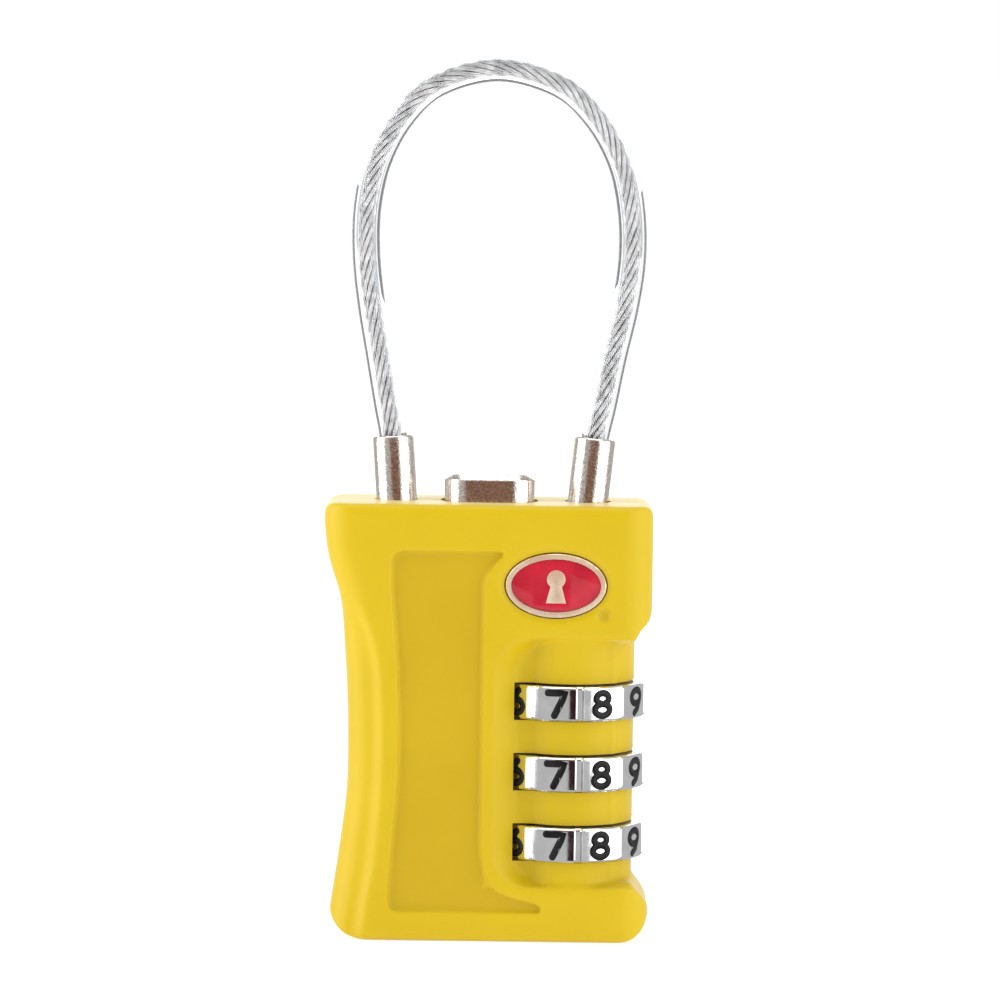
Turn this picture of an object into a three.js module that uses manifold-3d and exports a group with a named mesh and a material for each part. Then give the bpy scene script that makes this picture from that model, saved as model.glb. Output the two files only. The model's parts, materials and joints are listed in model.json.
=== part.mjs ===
// A cable luggage lock: a two-part case with a finger grip, three combination dials, a push button,
// a key override and a sheathed wire-rope loop that ends in two ferrules.
// Millimetres, +Z up, +X to the right of someone facing the dials, who looks along +Y.
// The origin is the middle of the case's base.

import * as THREE from 'three';
import { mergeVertices } from 'three/addons/utils/BufferGeometryUtils.js';
import Module from 'manifold-3d';

const wasm = await Module();
wasm.setup();

// ---------------------------------------------------------------- driving sizes

// case
const caseWidth = 32.7;
const caseHeight = 43.6;
const caseDepth = 13.4;
const edgeRound = 0.9;
const sideRound = 3.3;
const gripBand = 3.5;
const gripFall = 3.2;
const gripInset = 2.5;
const seam = 0.1;
const topCorner = 1.1;
const rightFootCorner = 2.9;
const ceiling = 2.1;

// dials
const dialRadius = 7.47;
const dialHeight = 3.45;
const dialPitch = 7.05;
const dialCount = 3;
const dialAxisX = 8.45;
const topDialZ = 24;
const digitCount = 10;
const shownDigitAngle = 24;
const fluteWidth = 0.8;
const fluteDepth = 0.45;
const barrelRadius = 6.28;
const barrelMargin = 2.15;
const dialBore = 4.2;

// sleeves and spindle
const sleeveBore = 1.85;
const sleeveHeight = 6.6;
const gateRadius = 3.3;
const gateWidth = 1.9;
const gateDepth = 2.9;
const spindleRadius = 1.5;
const finHeight = 1.2;
const finWidth = 1.3;

// button
const buttonWidth = 9;
const buttonDepth = 6;
const buttonProud = 2.7;
const buttonFlange = 0.9;
const stemWidth = 2;
const stemDepth = 3.2;

// cable and ferrules
const ferruleRadius = 2.03;
const ferruleProud = 6.4;
const ferruleDepth = 9.1;
const clipProud = 0.9;
const leftFerruleX = -9.27;
const leftFerruleLean = 3.8;
const rightFerruleX = 9.84;
const rightFerruleLean = 5.8;
const ropeRadius = 0.6;
const sheathRadius = 1.4;
const sheathBore = 0.72;
const cableSeat = 5.6;

// key cylinder
const keyAxisX = -6.2;
const plugRadius = 4;
const barrelWall = 0.6;
const plugLength = 18.5;
const waferCount = 4;
const waferPitch = 3.2;
const waferThick = 0.9;
const waferShy = 0.5;
const keywayWidth = 1.5;

// front details
const recessDepth = 0.5;
const badgeX = 6.7;
const badgeZ = 35.7;
const badgeWidth = 10;
const badgeHeight = 6.4;
const badgeRim = 0.6;
const dimpleX = 11.5;
const dimpleZ = 32.9;
const dimpleRadius = 0.75;

// fits
const turnGap = 0.3;
const slideGap = 0.1;

// ---------------------------------------------------------------- sizes worked out from those

const degree = Math.PI / 180;
const halfWidth = caseWidth / 2;
const halfDepth = caseDepth / 2;
const slotRadius = dialRadius + turnGap;
const dialLeft = dialAxisX - slotRadius;
const lowDialZ = topDialZ - dialPitch * (dialCount - 1);
const dialZoneLow = lowDialZ - dialHeight / 2 - barrelMargin - 0.1;
const dialZoneHigh = topDialZ + dialHeight / 2 + 2 * barrelMargin;
const keyBarrelRadius = plugRadius + turnGap + barrelWall;
const chamberHalfDepth = halfDepth - 1.8;
const midHigh = caseHeight - ferruleDepth - 1.3;
const midLow = midHigh - 3;
const upperLow = midHigh + 2.6;
const upperHigh = caseHeight - ceiling;
const upperHalfWidth = buttonWidth / 2 + buttonFlange + 0.6;
const keyRoomLow = plugLength + 1.5;
const flangeLow = upperHigh - 1.5;
const grooveDepth = 6.2;
const grooveCut = 0.75;
const plateZ = midHigh - 1;
const sleeveRadius = dialBore - turnGap;
const catchRight = upperHalfWidth - 0.7;
const catchRivetX = catchRight - 1.25;

// ---------------------------------------------------------------- solids and booleans

function toSolid(geometry) {
  const bare = geometry.clone();
  bare.deleteAttribute('normal');
  bare.deleteAttribute('uv');
  const merged = mergeVertices(bare, 1e-4);
  return new wasm.Manifold(new wasm.Mesh({
    numProp: 3,
    vertProperties: new Float32Array(merged.attributes.position.array),
    triVerts: new Uint32Array(merged.index.array),
  }));
}

function toGeometry(solid) {
  const mesh = solid.getMesh();
  const geometry = new THREE.BufferGeometry();
  geometry.setAttribute('position', new THREE.BufferAttribute(mesh.vertProperties, 3));
  geometry.setIndex(new THREE.BufferAttribute(mesh.triVerts, 1));
  geometry.computeVertexNormals();
  return geometry;
}

function box(low, high) {
  const size = high.map((value, i) => value - low[i]);
  const geometry = new THREE.BoxGeometry(...size);
  return toSolid(geometry.translate(...low.map((value, i) => value + size[i] / 2)));
}

// an upright cylinder
function rod(x, y, low, high, radius, sides = 32) {
  const geometry = new THREE.CylinderGeometry(radius, radius, high - low, sides);
  geometry.rotateX(Math.PI / 2);
  return toSolid(geometry.translate(x, y, (low + high) / 2));
}

// a cylinder from front to back
function crossRod(x, z, front, back, radius, sides = 20) {
  const geometry = new THREE.CylinderGeometry(radius, radius, back - front, sides);
  return toSolid(geometry.translate(x, (front + back) / 2, z));
}

function roundedRectangle(width, height, radius) {
  const [w, h, r] = [width / 2, height / 2, radius];
  const shape = new THREE.Shape();
  shape.moveTo(-w + r, -h);
  shape.lineTo(w - r, -h);
  shape.absarc(w - r, -h + r, r, -Math.PI / 2, 0);
  shape.lineTo(w, h - r);
  shape.absarc(w - r, h - r, r, 0, Math.PI / 2);
  shape.lineTo(-w + r, h);
  shape.absarc(-w + r, h - r, r, Math.PI / 2, Math.PI);
  shape.lineTo(-w, -h + r);
  shape.absarc(-w + r, -h + r, r, Math.PI, 1.5 * Math.PI);
  return shape;
}

// a plan outline raised from one height to another
function upright(shape, low, high, options = {}) {
  const geometry = new THREE.ExtrudeGeometry(shape, {
    depth: high - low, bevelEnabled: false, curveSegments: 6, ...options,
  });
  return geometry.translate(0, 0, low);
}

// an outline in X and Z carried from front to back
function throughDepth(shape, front, back, options = {}) {
  const geometry = new THREE.ExtrudeGeometry(shape, {
    depth: back - front, bevelEnabled: false, curveSegments: 6, ...options,
  });
  return geometry.rotateX(Math.PI / 2).translate(0, back, 0);
}

function pocket(left, right, low, high, radius = 2) {
  const shape = roundedRectangle(right - left, 2 * chamberHalfDepth, radius);
  return toSolid(upright(shape, low, high, { curveSegments: 4 }).translate((left + right) / 2, 0, 0));
}

const materials = {
  casing: new THREE.MeshStandardMaterial({ color: 0xdab619, roughness: 0.42, metalness: 0 }),
  dialChrome: new THREE.MeshStandardMaterial({ color: 0xcfd1d3, roughness: 0.2, metalness: 1 }),
  nickel: new THREE.MeshStandardMaterial({ color: 0xc9c2b6, roughness: 0.25, metalness: 1 }),
  brass: new THREE.MeshStandardMaterial({ color: 0xc6a256, roughness: 0.35, metalness: 1 }),
  steel: new THREE.MeshStandardMaterial({ color: 0x9a9c9f, roughness: 0.35, metalness: 1 }),
  rope: new THREE.MeshStandardMaterial({ color: 0xa9a9a8, roughness: 0.4, metalness: 1 }),
  clearSheath: new THREE.MeshStandardMaterial({
    color: 0xf2f2ee, roughness: 0.1, metalness: 0, transparent: true, opacity: 0.35,
  }),
  enamel: new THREE.MeshStandardMaterial({ color: 0xa81722, roughness: 0.2, metalness: 0 }),
};

function part(name, geometry, material) {
  const mesh = new THREE.Mesh(geometry, material.clone());
  mesh.name = name;
  return mesh;
}

// ---------------------------------------------------------------- the case

// how far left the case reaches at a height: a waist for the fingers between a foot and a shoulder
const leftEdgePoints = [
  [0, 0.4], [3.9, 1.0], [8.7, 1.7], [14.5, gripInset - 0.1], [19.7, gripInset], [25, gripInset - 0.15],
  [29.5, 2.05], [34, 1.65], [38, 0.45], [41.4, 0],
].map(([z, inset]) => new THREE.Vector2(z * caseHeight / 43.6, inset));

function leftEdge(z) {
  const last = leftEdgePoints.length - 1;
  const next = Math.min(last, Math.max(1, leftEdgePoints.findIndex((p) => p.x >= z)));
  const [from, to] = [leftEdgePoints[next - 1], leftEdgePoints[next]];
  const share = THREE.MathUtils.clamp((z - from.x) / (to.x - from.x), 0, 1);
  const eased = THREE.MathUtils.smoothstep(share, -0.5, 1.5);
  const inset = THREE.MathUtils.lerp(from.y, to.y, (eased - 0.15625) / 0.6875);
  return -halfWidth + inset;
}

function frontOutline() {
  const footCorner = 3.8;
  const barrelRight = dialAxisX + barrelRadius + 0.03;
  const shape = new THREE.Shape();
  shape.moveTo(leftEdge(0) + footCorner, 0);
  shape.lineTo(halfWidth - rightFootCorner, 0);
  shape.absarc(halfWidth - rightFootCorner, rightFootCorner, rightFootCorner, -Math.PI / 2, 0);
  shape.bezierCurveTo(halfWidth, dialZoneLow - 1.6, barrelRight, dialZoneLow - 0.6, barrelRight,
    dialZoneLow + 0.4);
  shape.lineTo(barrelRight, dialZoneHigh - 1);
  shape.bezierCurveTo(barrelRight, dialZoneHigh + 0.6, halfWidth, dialZoneHigh + 1, halfWidth,
    dialZoneHigh + 3.2);
  shape.lineTo(halfWidth, caseHeight - topCorner);
  shape.absarc(halfWidth - topCorner, caseHeight - topCorner, topCorner, 0, Math.PI / 2);
  shape.lineTo(-halfWidth + topCorner, caseHeight);
  shape.absarc(-halfWidth + topCorner, caseHeight - topCorner, topCorner, Math.PI / 2, Math.PI);
  const steps = 14;
  const [high, low] = [leftEdgePoints.at(-1).x, footCorner];
  for (let i = 0; i <= steps; i += 1) {
    const z = THREE.MathUtils.lerp(high, low, i / steps);
    shape.lineTo(leftEdge(z), z);
  }
  const corner = leftEdge(0);
  shape.bezierCurveTo(corner - 0.1, footCorner * 0.45, corner + footCorner * 0.45, 0,
    corner + footCorner, 0);
  return shape;
}

// the case's cross-section, with its left corners cut back for the fingers
function planOutline() {
  const [w, d, r] = [halfWidth, halfDepth, sideRound];
  const shape = new THREE.Shape();
  shape.moveTo(-w + gripBand, -d);
  shape.lineTo(w - r, -d);
  shape.absarc(w - r, -d + r, r, -Math.PI / 2, 0);
  shape.lineTo(w, d - r);
  shape.absarc(w - r, d - r, r, 0, Math.PI / 2);
  shape.lineTo(-w + gripBand, d);
  shape.quadraticCurveTo(-w + gripBand * 0.35, d - gripFall * 0.35, -w, d - gripFall);
  shape.lineTo(-w, -d + gripFall);
  shape.quadraticCurveTo(-w + gripBand * 0.35, -d + gripFall * 0.35, -w + gripBand, -d);
  return shape;
}

function caseBlock() {
  const block = upright(planOutline(), 0, caseHeight, { steps: 16, curveSegments: 5 });
  const place = block.attributes.position;
  for (let i = 0; i < place.count; i += 1) {
    const x = place.getX(i);
    if (x < 0) place.setX(i, x * leftEdge(place.getZ(i)) / -halfWidth);
  }
  const front = throughDepth(frontOutline(), -halfDepth + edgeRound, halfDepth - edgeRound, {
    bevelEnabled: true, bevelThickness: edgeRound, bevelSize: edgeRound, bevelOffset: -edgeRound,
    bevelSegments: 3,
  });
  return toSolid(block).intersect(toSolid(front));
}

// beside the dials the case narrows to a barrel round their axis, with a shallow valley before it
function dialZone() {
  const [landEnd, valleyX, valleyY, joinX] = [0.6, 3, 5, 4.2];
  const joinY = Math.sqrt(barrelRadius ** 2 - (dialAxisX - joinX) ** 2);
  const joinAngle = Math.atan2(joinY, joinX - dialAxisX);
  const shape = new THREE.Shape();
  shape.moveTo(landEnd - 1, -halfDepth);
  shape.lineTo(landEnd, -halfDepth);
  shape.quadraticCurveTo(valleyX - 0.8, -halfDepth, valleyX, -valleyY);
  shape.lineTo(joinX, -joinY);
  shape.absarc(dialAxisX, 0, barrelRadius, -joinAngle, joinAngle);
  shape.lineTo(valleyX, valleyY);
  shape.quadraticCurveTo(valleyX - 0.8, halfDepth, landEnd, halfDepth);
  shape.lineTo(landEnd - 1, halfDepth);
  const reach = halfWidth + 1;
  const cleared = box([landEnd, -halfDepth - 1, dialZoneLow], [reach, halfDepth + 1, dialZoneHigh]);
  const barrel = toSolid(upright(shape, dialZoneLow - 0.5, dialZoneHigh + 0.5, { curveSegments: 20 }));
  return { cleared, barrel };
}

function recessOutline() {
  const [left, right, low, high, r] = [-9.55, -0.4, 3, caseHeight - 4.6, 1.2];
  const waist = left + 0.85;
  const shape = new THREE.Shape();
  shape.moveTo(left + r, low);
  shape.lineTo(right + 6, low);
  shape.quadraticCurveTo(right + 4.2, low + 1.3, right + 1.7, low + 2);
  shape.quadraticCurveTo(right, low + 2.8, right, low + 5);
  shape.lineTo(right, high - 2.4);
  shape.lineTo(right + 2.1, high);
  shape.lineTo(left + r, high);
  shape.quadraticCurveTo(left, high, left, high - r);
  shape.quadraticCurveTo(waist - 0.85, (low + high) / 2, left, low + r);
  shape.quadraticCurveTo(left, low, left + r, low);
  return shape;
}

function ellipse(width, height) {
  return new THREE.Shape().absellipse(0, 0, width / 2, height / 2, 0, 2 * Math.PI);
}

const dialHeights = Array.from({ length: dialCount }, (_, i) => topDialZ - dialPitch * i);
const screwPlaces = [[1.4, 3.2], [14.1, 36], [-12.5, 40.7], [-0.2, dialZoneHigh - 1.6]];
const screwHead = { radius: 1.5, height: 1.1, depth: 0.8 };
const screwShank = { radius: 0.75, length: 7.6 };

// everything cut out of the case's two halves
function caseCuts() {
  const cuts = dialHeights.map((z) => rod(dialAxisX, 0, z - dialHeight / 2 - 0.15,
    z + dialHeight / 2 + 0.15, slotRadius, 60));
  const spindleLow = lowDialZ - sleeveHeight / 2 - 2.6;
  cuts.push(rod(dialAxisX, 0, spindleLow, topDialZ + sleeveHeight / 2 + 0.2, dialBore, 40));
  cuts.push(rod(dialAxisX, 0, spindleLow - 1.9, midLow + 1, spindleRadius + turnGap, 20));
  cuts.push(box([dialLeft - 1.6, -2.2, lowDialZ - 3], [dialLeft + 0.6, 2.2, topDialZ + 3]));
  cuts.push(pocket(-upperHalfWidth, upperHalfWidth, upperLow, upperHigh));
  cuts.push(pocket(keyAxisX - 4.8, dialAxisX + 3.9, midLow, midHigh));
  cuts.push(pocket(keyAxisX - 4.8, keyAxisX + 4.2, keyRoomLow, midLow + 1));
  cuts.push(rod(keyAxisX, 0, -1, keyRoomLow + 1, keyBarrelRadius + slideGap, 40));
  const hole = roundedRectangle(buttonWidth + 0.8, buttonDepth + 0.8, 3);
  cuts.push(toSolid(upright(hole, upperHigh - 1, caseHeight + 1)));
  cuts.push(box([-stemWidth / 2 - turnGap, -stemDepth / 2 - turnGap, midHigh - 1],
    [stemWidth / 2 + turnGap, stemDepth / 2 + turnGap, upperLow + 1]));
  cuts.push(box([3.7, 1.9, midHigh - 1], [upperHalfWidth, 3.5, upperLow + 1]));
  const grooveZ = caseHeight - grooveDepth;
  cuts.push(box([upperHalfWidth - 1, -1.8, grooveZ - 1.2], [rightFerruleX - 0.5, 1.8, grooveZ + 1.2]));
  cuts.push(ferruleSocket(leftFerruleX, -leftFerruleLean, slideGap));
  cuts.push(ferruleSocket(rightFerruleX, rightFerruleLean, turnGap));
  const clipX = leftFerruleX + Math.tan(leftFerruleLean * degree) * grooveDepth;
  cuts.push(rod(clipX, 0, grooveZ - 0.7, grooveZ + 0.7, ferruleRadius + clipProud + 0.5, 24));
  for (const [x, z] of screwPlaces) {
    const headFront = halfDepth - screwHead.depth - screwHead.height;
    cuts.push(crossRod(x, z, headFront - slideGap, halfDepth + 1, screwHead.radius + slideGap));
    cuts.push(crossRod(x, z, headFront - screwShank.length - 0.2, headFront,
      screwShank.radius + slideGap, 12));
  }
  cuts.push(rod(catchRivetX, 0, upperLow - 1.6, upperLow + 1, 0.45, 10));
  return cuts;
}

function ferruleSocket(x, lean, gap) {
  const geometry = new THREE.CylinderGeometry(ferruleRadius + gap, ferruleRadius + gap,
    ferruleDepth + 2.2, 28);
  geometry.rotateX(Math.PI / 2).translate(0, 0, (2 - ferruleDepth) / 2 - 0.1);
  return toSolid(geometry.rotateY(lean * degree).translate(x, 0, caseHeight));
}

function frontCuts() {
  const recess = throughDepth(recessOutline(), -halfDepth - 1, -halfDepth + recessDepth);
  const badge = ellipse(badgeWidth + 2 * slideGap, badgeHeight + 2 * slideGap);
  const badgeHole = throughDepth(badge, -halfDepth - 1, -halfDepth + 0.8, { curveSegments: 12 });
  const dimple = new THREE.SphereGeometry(dimpleRadius * 1.4, 12, 8);
  return [
    toSolid(recess),
    toSolid(badgeHole.translate(badgeX, 0, badgeZ)),
    toSolid(dimple.translate(dimpleX, -halfDepth - dimpleRadius * 0.9, dimpleZ)),
  ];
}

const zone = dialZone();
const wholeCase = caseBlock().subtract(zone.cleared).add(zone.barrel.intersect(caseBlock()));
const hollowCase = caseCuts().reduce((body, cut) => body.subtract(cut), wholeCase);
const big = 100;
const frontHalf = frontCuts().reduce(
  (body, cut) => body.subtract(cut),
  hollowCase.intersect(box([-big, -big, -big], [big, -seam / 2, big])),
);
const rearHalf = hollowCase.intersect(box([-big, seam / 2, -big], [big, big, big]));

// ---------------------------------------------------------------- badge

const badgeBack = -halfDepth + 0.8 - slideGap;

function badgeRimPiece() {
  const ring = ellipse(badgeWidth, badgeHeight);
  ring.holes.push(ellipse(badgeWidth - 2 * badgeRim, badgeHeight - 2 * badgeRim));
  return throughDepth(ring, badgeBack - 1.1, badgeBack, { curveSegments: 12 })
    .translate(badgeX, 0, badgeZ);
}

function badgeInlayPiece() {
  const inset = 2 * (badgeRim + slideGap);
  const plate = ellipse(badgeWidth - inset, badgeHeight - inset);
  return throughDepth(plate, badgeBack - 0.7, badgeBack, { curveSegments: 12 })
    .translate(badgeX, 0, badgeZ);
}

// ---------------------------------------------------------------- dials

// angles count from the front, towards +X
function aroundDial(degrees, radius) {
  return [radius * Math.sin(degrees * degree), -radius * Math.cos(degrees * degree)];
}

function dialOutline(bevel) {
  const step = 360 / digitCount;
  const fluteHalf = fluteWidth / 2 / dialRadius / degree;
  const shape = new THREE.Shape();
  const rim = dialRadius - bevel;
  for (let i = 0; i < digitCount; i += 1) {
    const middle = shownDigitAngle + i * step;
    for (let k = 0; k <= 4; k += 1) {
      const angle = middle + (k / 4 - 0.5) * (step - 2 * fluteHalf);
      const [x, y] = aroundDial(angle, rim);
      if (i === 0 && k === 0) shape.moveTo(x, y);
      else shape.lineTo(x, y);
    }
    const [x, y] = aroundDial(middle + step / 2, rim - fluteDepth);
    shape.lineTo(x, y);
  }
  shape.closePath();
  return shape;
}

function dialWheel() {
  const bevel = 0.25;
  const solid = toSolid(upright(dialOutline(bevel), -dialHeight / 2 + bevel, dialHeight / 2 - bevel, {
    bevelEnabled: true, bevelThickness: bevel, bevelSize: bevel, bevelSegments: 1,
  }));
  const notch = box([sleeveRadius - 0.2, -0.8, -dialHeight], [dialBore + 0.6, 0.8, dialHeight]);
  const bore = rod(0, 0, -dialHeight, dialHeight, dialBore, 36);
  return solid.subtract(bore).subtract(notch);
}

function dialSleeve() {
  const [low, high] = [-sleeveHeight / 2, sleeveHeight / 2];
  const gateTop = low + gateDepth;
  const rib = box([sleeveRadius - 0.3, -0.7, -dialHeight / 2 + slideGap],
    [dialBore + 0.5, 0.7, dialHeight / 2 - slideGap]);
  const gates = box([-gateRadius, -gateWidth / 2, low - 1], [gateRadius, gateWidth / 2, high]);
  return rod(0, 0, low, high, sleeveRadius, 36)
    .add(rib)
    .subtract(rod(0, 0, low - 1, high + 1, sleeveBore, 24))
    .subtract(rod(0, 0, gateTop, high + 1, gateRadius, 24))
    .subtract(gates);
}

// ---------------------------------------------------------------- spindle and what it passes through

const spindleFoot = lowDialZ - sleeveHeight / 2 - 2.4;
const shoulder = plateZ - 0.5;
const plateThick = 0.8;

function spindle() {
  let body = rod(dialAxisX, 0, spindleFoot, shoulder, spindleRadius, 20)
    .add(rod(dialAxisX, 0, shoulder - 1, plateZ + plateThick + 0.15, 1, 16));
  for (const z of dialHeights) {
    const gateTop = z - sleeveHeight / 2 + gateDepth;
    const reach = gateRadius - turnGap;
    body = body.add(box([dialAxisX - reach, -finWidth / 2, gateTop + 0.3],
      [dialAxisX, finWidth / 2, gateTop + 0.3 + finHeight]));
  }
  return body;
}

function spindleClip() {
  const ring = rod(dialAxisX, 0, plateZ + plateThick / 2 + 0.05, plateZ + plateThick / 2 + 0.35, 2, 20);
  return ring.subtract(rod(dialAxisX, 0, 0, caseHeight, 1.05, 16))
    .subtract(box([dialAxisX, -0.5, 0], [dialAxisX + 3, 0.5, caseHeight]));
}

function spindleBush() {
  const low = spindleFoot + 0.1;
  return rod(dialAxisX, 0, low, low + 1.9, sleeveRadius, 24)
    .subtract(rod(dialAxisX, 0, 0, low + 3, spindleRadius + slideGap, 20));
}

// ---------------------------------------------------------------- button and its plate

function pushButton() {
  const bevel = 0.5;
  const cap = roundedRectangle(buttonWidth - 2 * bevel, buttonDepth - 2 * bevel, 2.6 - bevel);
  const top = caseHeight + buttonProud;
  const flange = roundedRectangle(buttonWidth + 2 * buttonFlange, buttonDepth + 1.6, 2.8);
  const plateTop = plateZ + plateThick / 2;
  const wedge = box([upperHalfWidth - 0.5, -1, flangeLow - 1.5], [upperHalfWidth - 0.2, 1, flangeLow + 0.8])
    .add(box([upperHalfWidth - 1.4, -1, flangeLow + 0.1], [upperHalfWidth - 0.3, 1, flangeLow + 0.8]));
  return toSolid(upright(cap, flangeLow + bevel, top - bevel, {
    bevelEnabled: true, bevelThickness: bevel, bevelSize: bevel, bevelSegments: 2,
  }))
    .add(toSolid(upright(flange, flangeLow, flangeLow + 1.2)))
    .add(wedge)
    .add(box([-stemWidth / 2, -stemDepth / 2, plateTop + slideGap],
      [stemWidth / 2, stemDepth / 2, flangeLow + 1]));
}

function releasePlate() {
  const [low, high] = [plateZ - plateThick / 2, plateZ + plateThick / 2];
  return box([-2, -1.6, low], [dialAxisX + 1.8, 1.6, high])
    .subtract(rod(dialAxisX, 0, 0, caseHeight, 1.1, 16));
}

function coil(radius, wire, low, high, turns) {
  class Helix extends THREE.Curve {
    getPoint(t, target = new THREE.Vector3()) {
      const angle = 2 * Math.PI * turns * t;
      return target.set(radius * Math.cos(angle), radius * Math.sin(angle), low + wire + t * rise);
    }
  }
  const rise = high - low - 2 * wire;
  const section = new THREE.Shape().absarc(0, 0, wire, 0, 2 * Math.PI);
  return new THREE.ExtrudeGeometry(section, {
    steps: turns * 14, curveSegments: 3, bevelEnabled: false, extrudePath: new Helix(),
  });
}

// ---------------------------------------------------------------- the catch

// a flat spring that stands beside the free ferrule and hooks into its groove
function catchLeaf() {
  const grooveZ = caseHeight - grooveDepth;
  const right = catchRight;
  const foot = upperLow + slideGap;
  const strip = new THREE.Shape();
  strip.moveTo(right - 1.9, foot);
  strip.lineTo(right, foot);
  strip.lineTo(right, grooveZ + 0.9);
  strip.lineTo(right - 0.4, grooveZ + 0.9);
  strip.lineTo(right - 0.4, foot + 0.4);
  strip.lineTo(right - 1.9, foot + 0.4);
  const grooveAxis = rightFerruleX - Math.tan(rightFerruleLean * degree) * grooveDepth;
  const tip = grooveAxis - ferruleRadius + grooveCut - 0.25;
  const nose = new THREE.Shape();
  nose.moveTo(right - 0.2, grooveZ - 0.35);
  nose.lineTo(tip, grooveZ - 0.35);
  nose.lineTo(tip, grooveZ + 0.1);
  nose.lineTo(right - 0.2, grooveZ + 0.8);
  const hole = rod(catchRivetX, 0, 0, caseHeight, 0.45, 10);
  return toSolid(throughDepth(strip, -3.2, 3.2)).add(toSolid(throughDepth(nose, -1.4, 1.4)))
    .subtract(hole);
}

function catchRivet() {
  const top = upperLow + slideGap + 0.45;
  return rod(catchRivetX, 0, top, top + 0.35, 0.62, 12)
    .add(rod(catchRivetX, 0, upperLow - 1.4, top + 0.1, 0.35, 10));
}

// three fingers press on the dials, so each dial clicks from digit to digit
function detentSpring() {
  const back = dialLeft - 1.3;
  let body = box([back, -1.9, lowDialZ - 2.7], [back + 0.3, 1.9, topDialZ + 2.7]);
  for (const z of dialHeights) {
    const finger = new THREE.Shape();
    finger.moveTo(back, z - 1.2);
    finger.lineTo(back + 0.3, z - 1.2);
    finger.lineTo(dialLeft - 0.02, z - 0.2);
    finger.lineTo(dialLeft - 0.02, z + 0.2);
    finger.lineTo(back + 0.3, z + 1.2);
    finger.lineTo(back, z + 1.2);
    body = body.add(toSolid(throughDepth(finger, -0.6, 0.6)));
  }
  return body;
}

// ---------------------------------------------------------------- key cylinder

const plugLow = 0.7;
const tenonReach = plugRadius / 2;
const keyBarrelTop = plugLength + 1.2;

function keyBarrel() {
  return rod(keyAxisX, 0, 0.5, keyBarrelTop, keyBarrelRadius, 36)
    .subtract(rod(keyAxisX, 0, -1, caseHeight, plugRadius + turnGap / 2, 36));
}

const waferHeights = Array.from({ length: waferCount }, (_, i) => plugLow + 3 + waferPitch * i);

function keyPlug() {
  const top = plugLow + plugLength;
  let body = rod(keyAxisX, 0, plugLow, top, plugRadius, 36)
    .add(box([keyAxisX - 0.8, -tenonReach, top - 1], [keyAxisX + 0.8, tenonReach, top + 0.9]));
  body = body.subtract(box([keyAxisX - keywayWidth / 2, waferShy + 0.3 - plugRadius, plugLow - 1],
    [keyAxisX + keywayWidth / 2, plugRadius - 1.4, top - 2]));
  for (const z of waferHeights) {
    const half = waferThick / 2 + slideGap;
    body = body.subtract(box([keyAxisX - 1.6, -plugRadius - 1, z - half],
      [keyAxisX + 1.6, plugRadius + 1, z + half]));
  }
  return body;
}

function wafer(z) {
  const [low, high] = [z - waferThick / 2, z + waferThick / 2];
  const reach = plugRadius - waferShy;
  const half = keywayWidth / 2 + slideGap;
  return box([keyAxisX - 1.5, -reach, low], [keyAxisX + 1.5, reach, high])
    .subtract(box([keyAxisX - half, 0.95 - reach, low - 1], [keyAxisX + half, reach - 1.7, high + 1]));
}

const lobeReach = 2.6;
const lobeRadius = 0.6;
const lobeLow = midLow - 2.4;

function keyCam() {
  const low = plugLow + plugLength + 0.1;
  const lobe = box([keyAxisX - lobeRadius, 0, lobeLow], [keyAxisX + lobeRadius, lobeReach, lobeLow + 2])
    .add(rod(keyAxisX, lobeReach, lobeLow, lobeLow + 2, lobeRadius, 16));
  return rod(keyAxisX, 0, low, low + 1.6, plugRadius - 1, 28)
    .add(rod(keyAxisX, 0, low + 1, lobeLow + 2, 1.2, 16))
    .add(lobe)
    .subtract(box([keyAxisX - 0.8 - slideGap, -tenonReach - slideGap, low - 1],
      [keyAxisX + 0.8 + slideGap, tenonReach + slideGap, low + 1]));
}

// a bar that the key's cam pulls to the left, with a finger behind the catch
function overrideSlide() {
  const tabRight = keyAxisX - lobeReach + lobeRadius - 0.2;
  const barLow = midLow + 0.2;
  const fingerRight = upperHalfWidth - 0.15;
  return box([tabRight - 0.6, 2, barLow], [fingerRight, 3.6, barLow + 0.7])
    .add(box([tabRight - 0.6, -1.2, lobeLow - 0.4], [tabRight, 3, barLow + 0.7]))
    .add(box([fingerRight - 0.35, 2.2, barLow], [fingerRight, 3.2, upperLow + 1.1]));
}

// ---------------------------------------------------------------- cable

// the cable's middle line, from the seat in the left ferrule round to the seat in the right one,
// in heights above the case
function cableRoute() {
  const seat = ferruleProud - cableSeat;
  const left = Math.tan(leftFerruleLean * degree);
  const right = Math.tan(rightFerruleLean * degree);
  const points = [
    [leftFerruleX - left * seat, seat],
    [leftFerruleX - left * 3, 3],
    [leftFerruleX - left * ferruleProud, ferruleProud],
    [-10.3, 9.6], [-11.15, 14.5], [-12, 19.4], [-12.55, 24.2], [-12.5, 29.1], [-11.45, 33.9],
    [-9.1, 38.3], [-5.6, 41.5], [0.4, 43.05], [6.5, 41.5], [10.15, 38.3], [12.65, 33.9], [13.75, 29.1],
    [13.9, 24.2], [13.25, 19.4], [12.15, 14.5], [11.2, 9.6],
    [rightFerruleX + right * ferruleProud, ferruleProud],
    [rightFerruleX + right * 3, 3],
    [rightFerruleX + right * seat, seat],
  ];
  return new THREE.CatmullRomCurve3(points.map(([x, z]) => new THREE.Vector3(x, 0, caseHeight + z)));
}

function alongCable(section) {
  return new THREE.ExtrudeGeometry(section, {
    steps: 72, curveSegments: 4, bevelEnabled: false, extrudePath: cableRoute(),
  });
}

function roundSection(radius) {
  return new THREE.Shape().absarc(0, 0, radius, 0, 2 * Math.PI);
}

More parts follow.
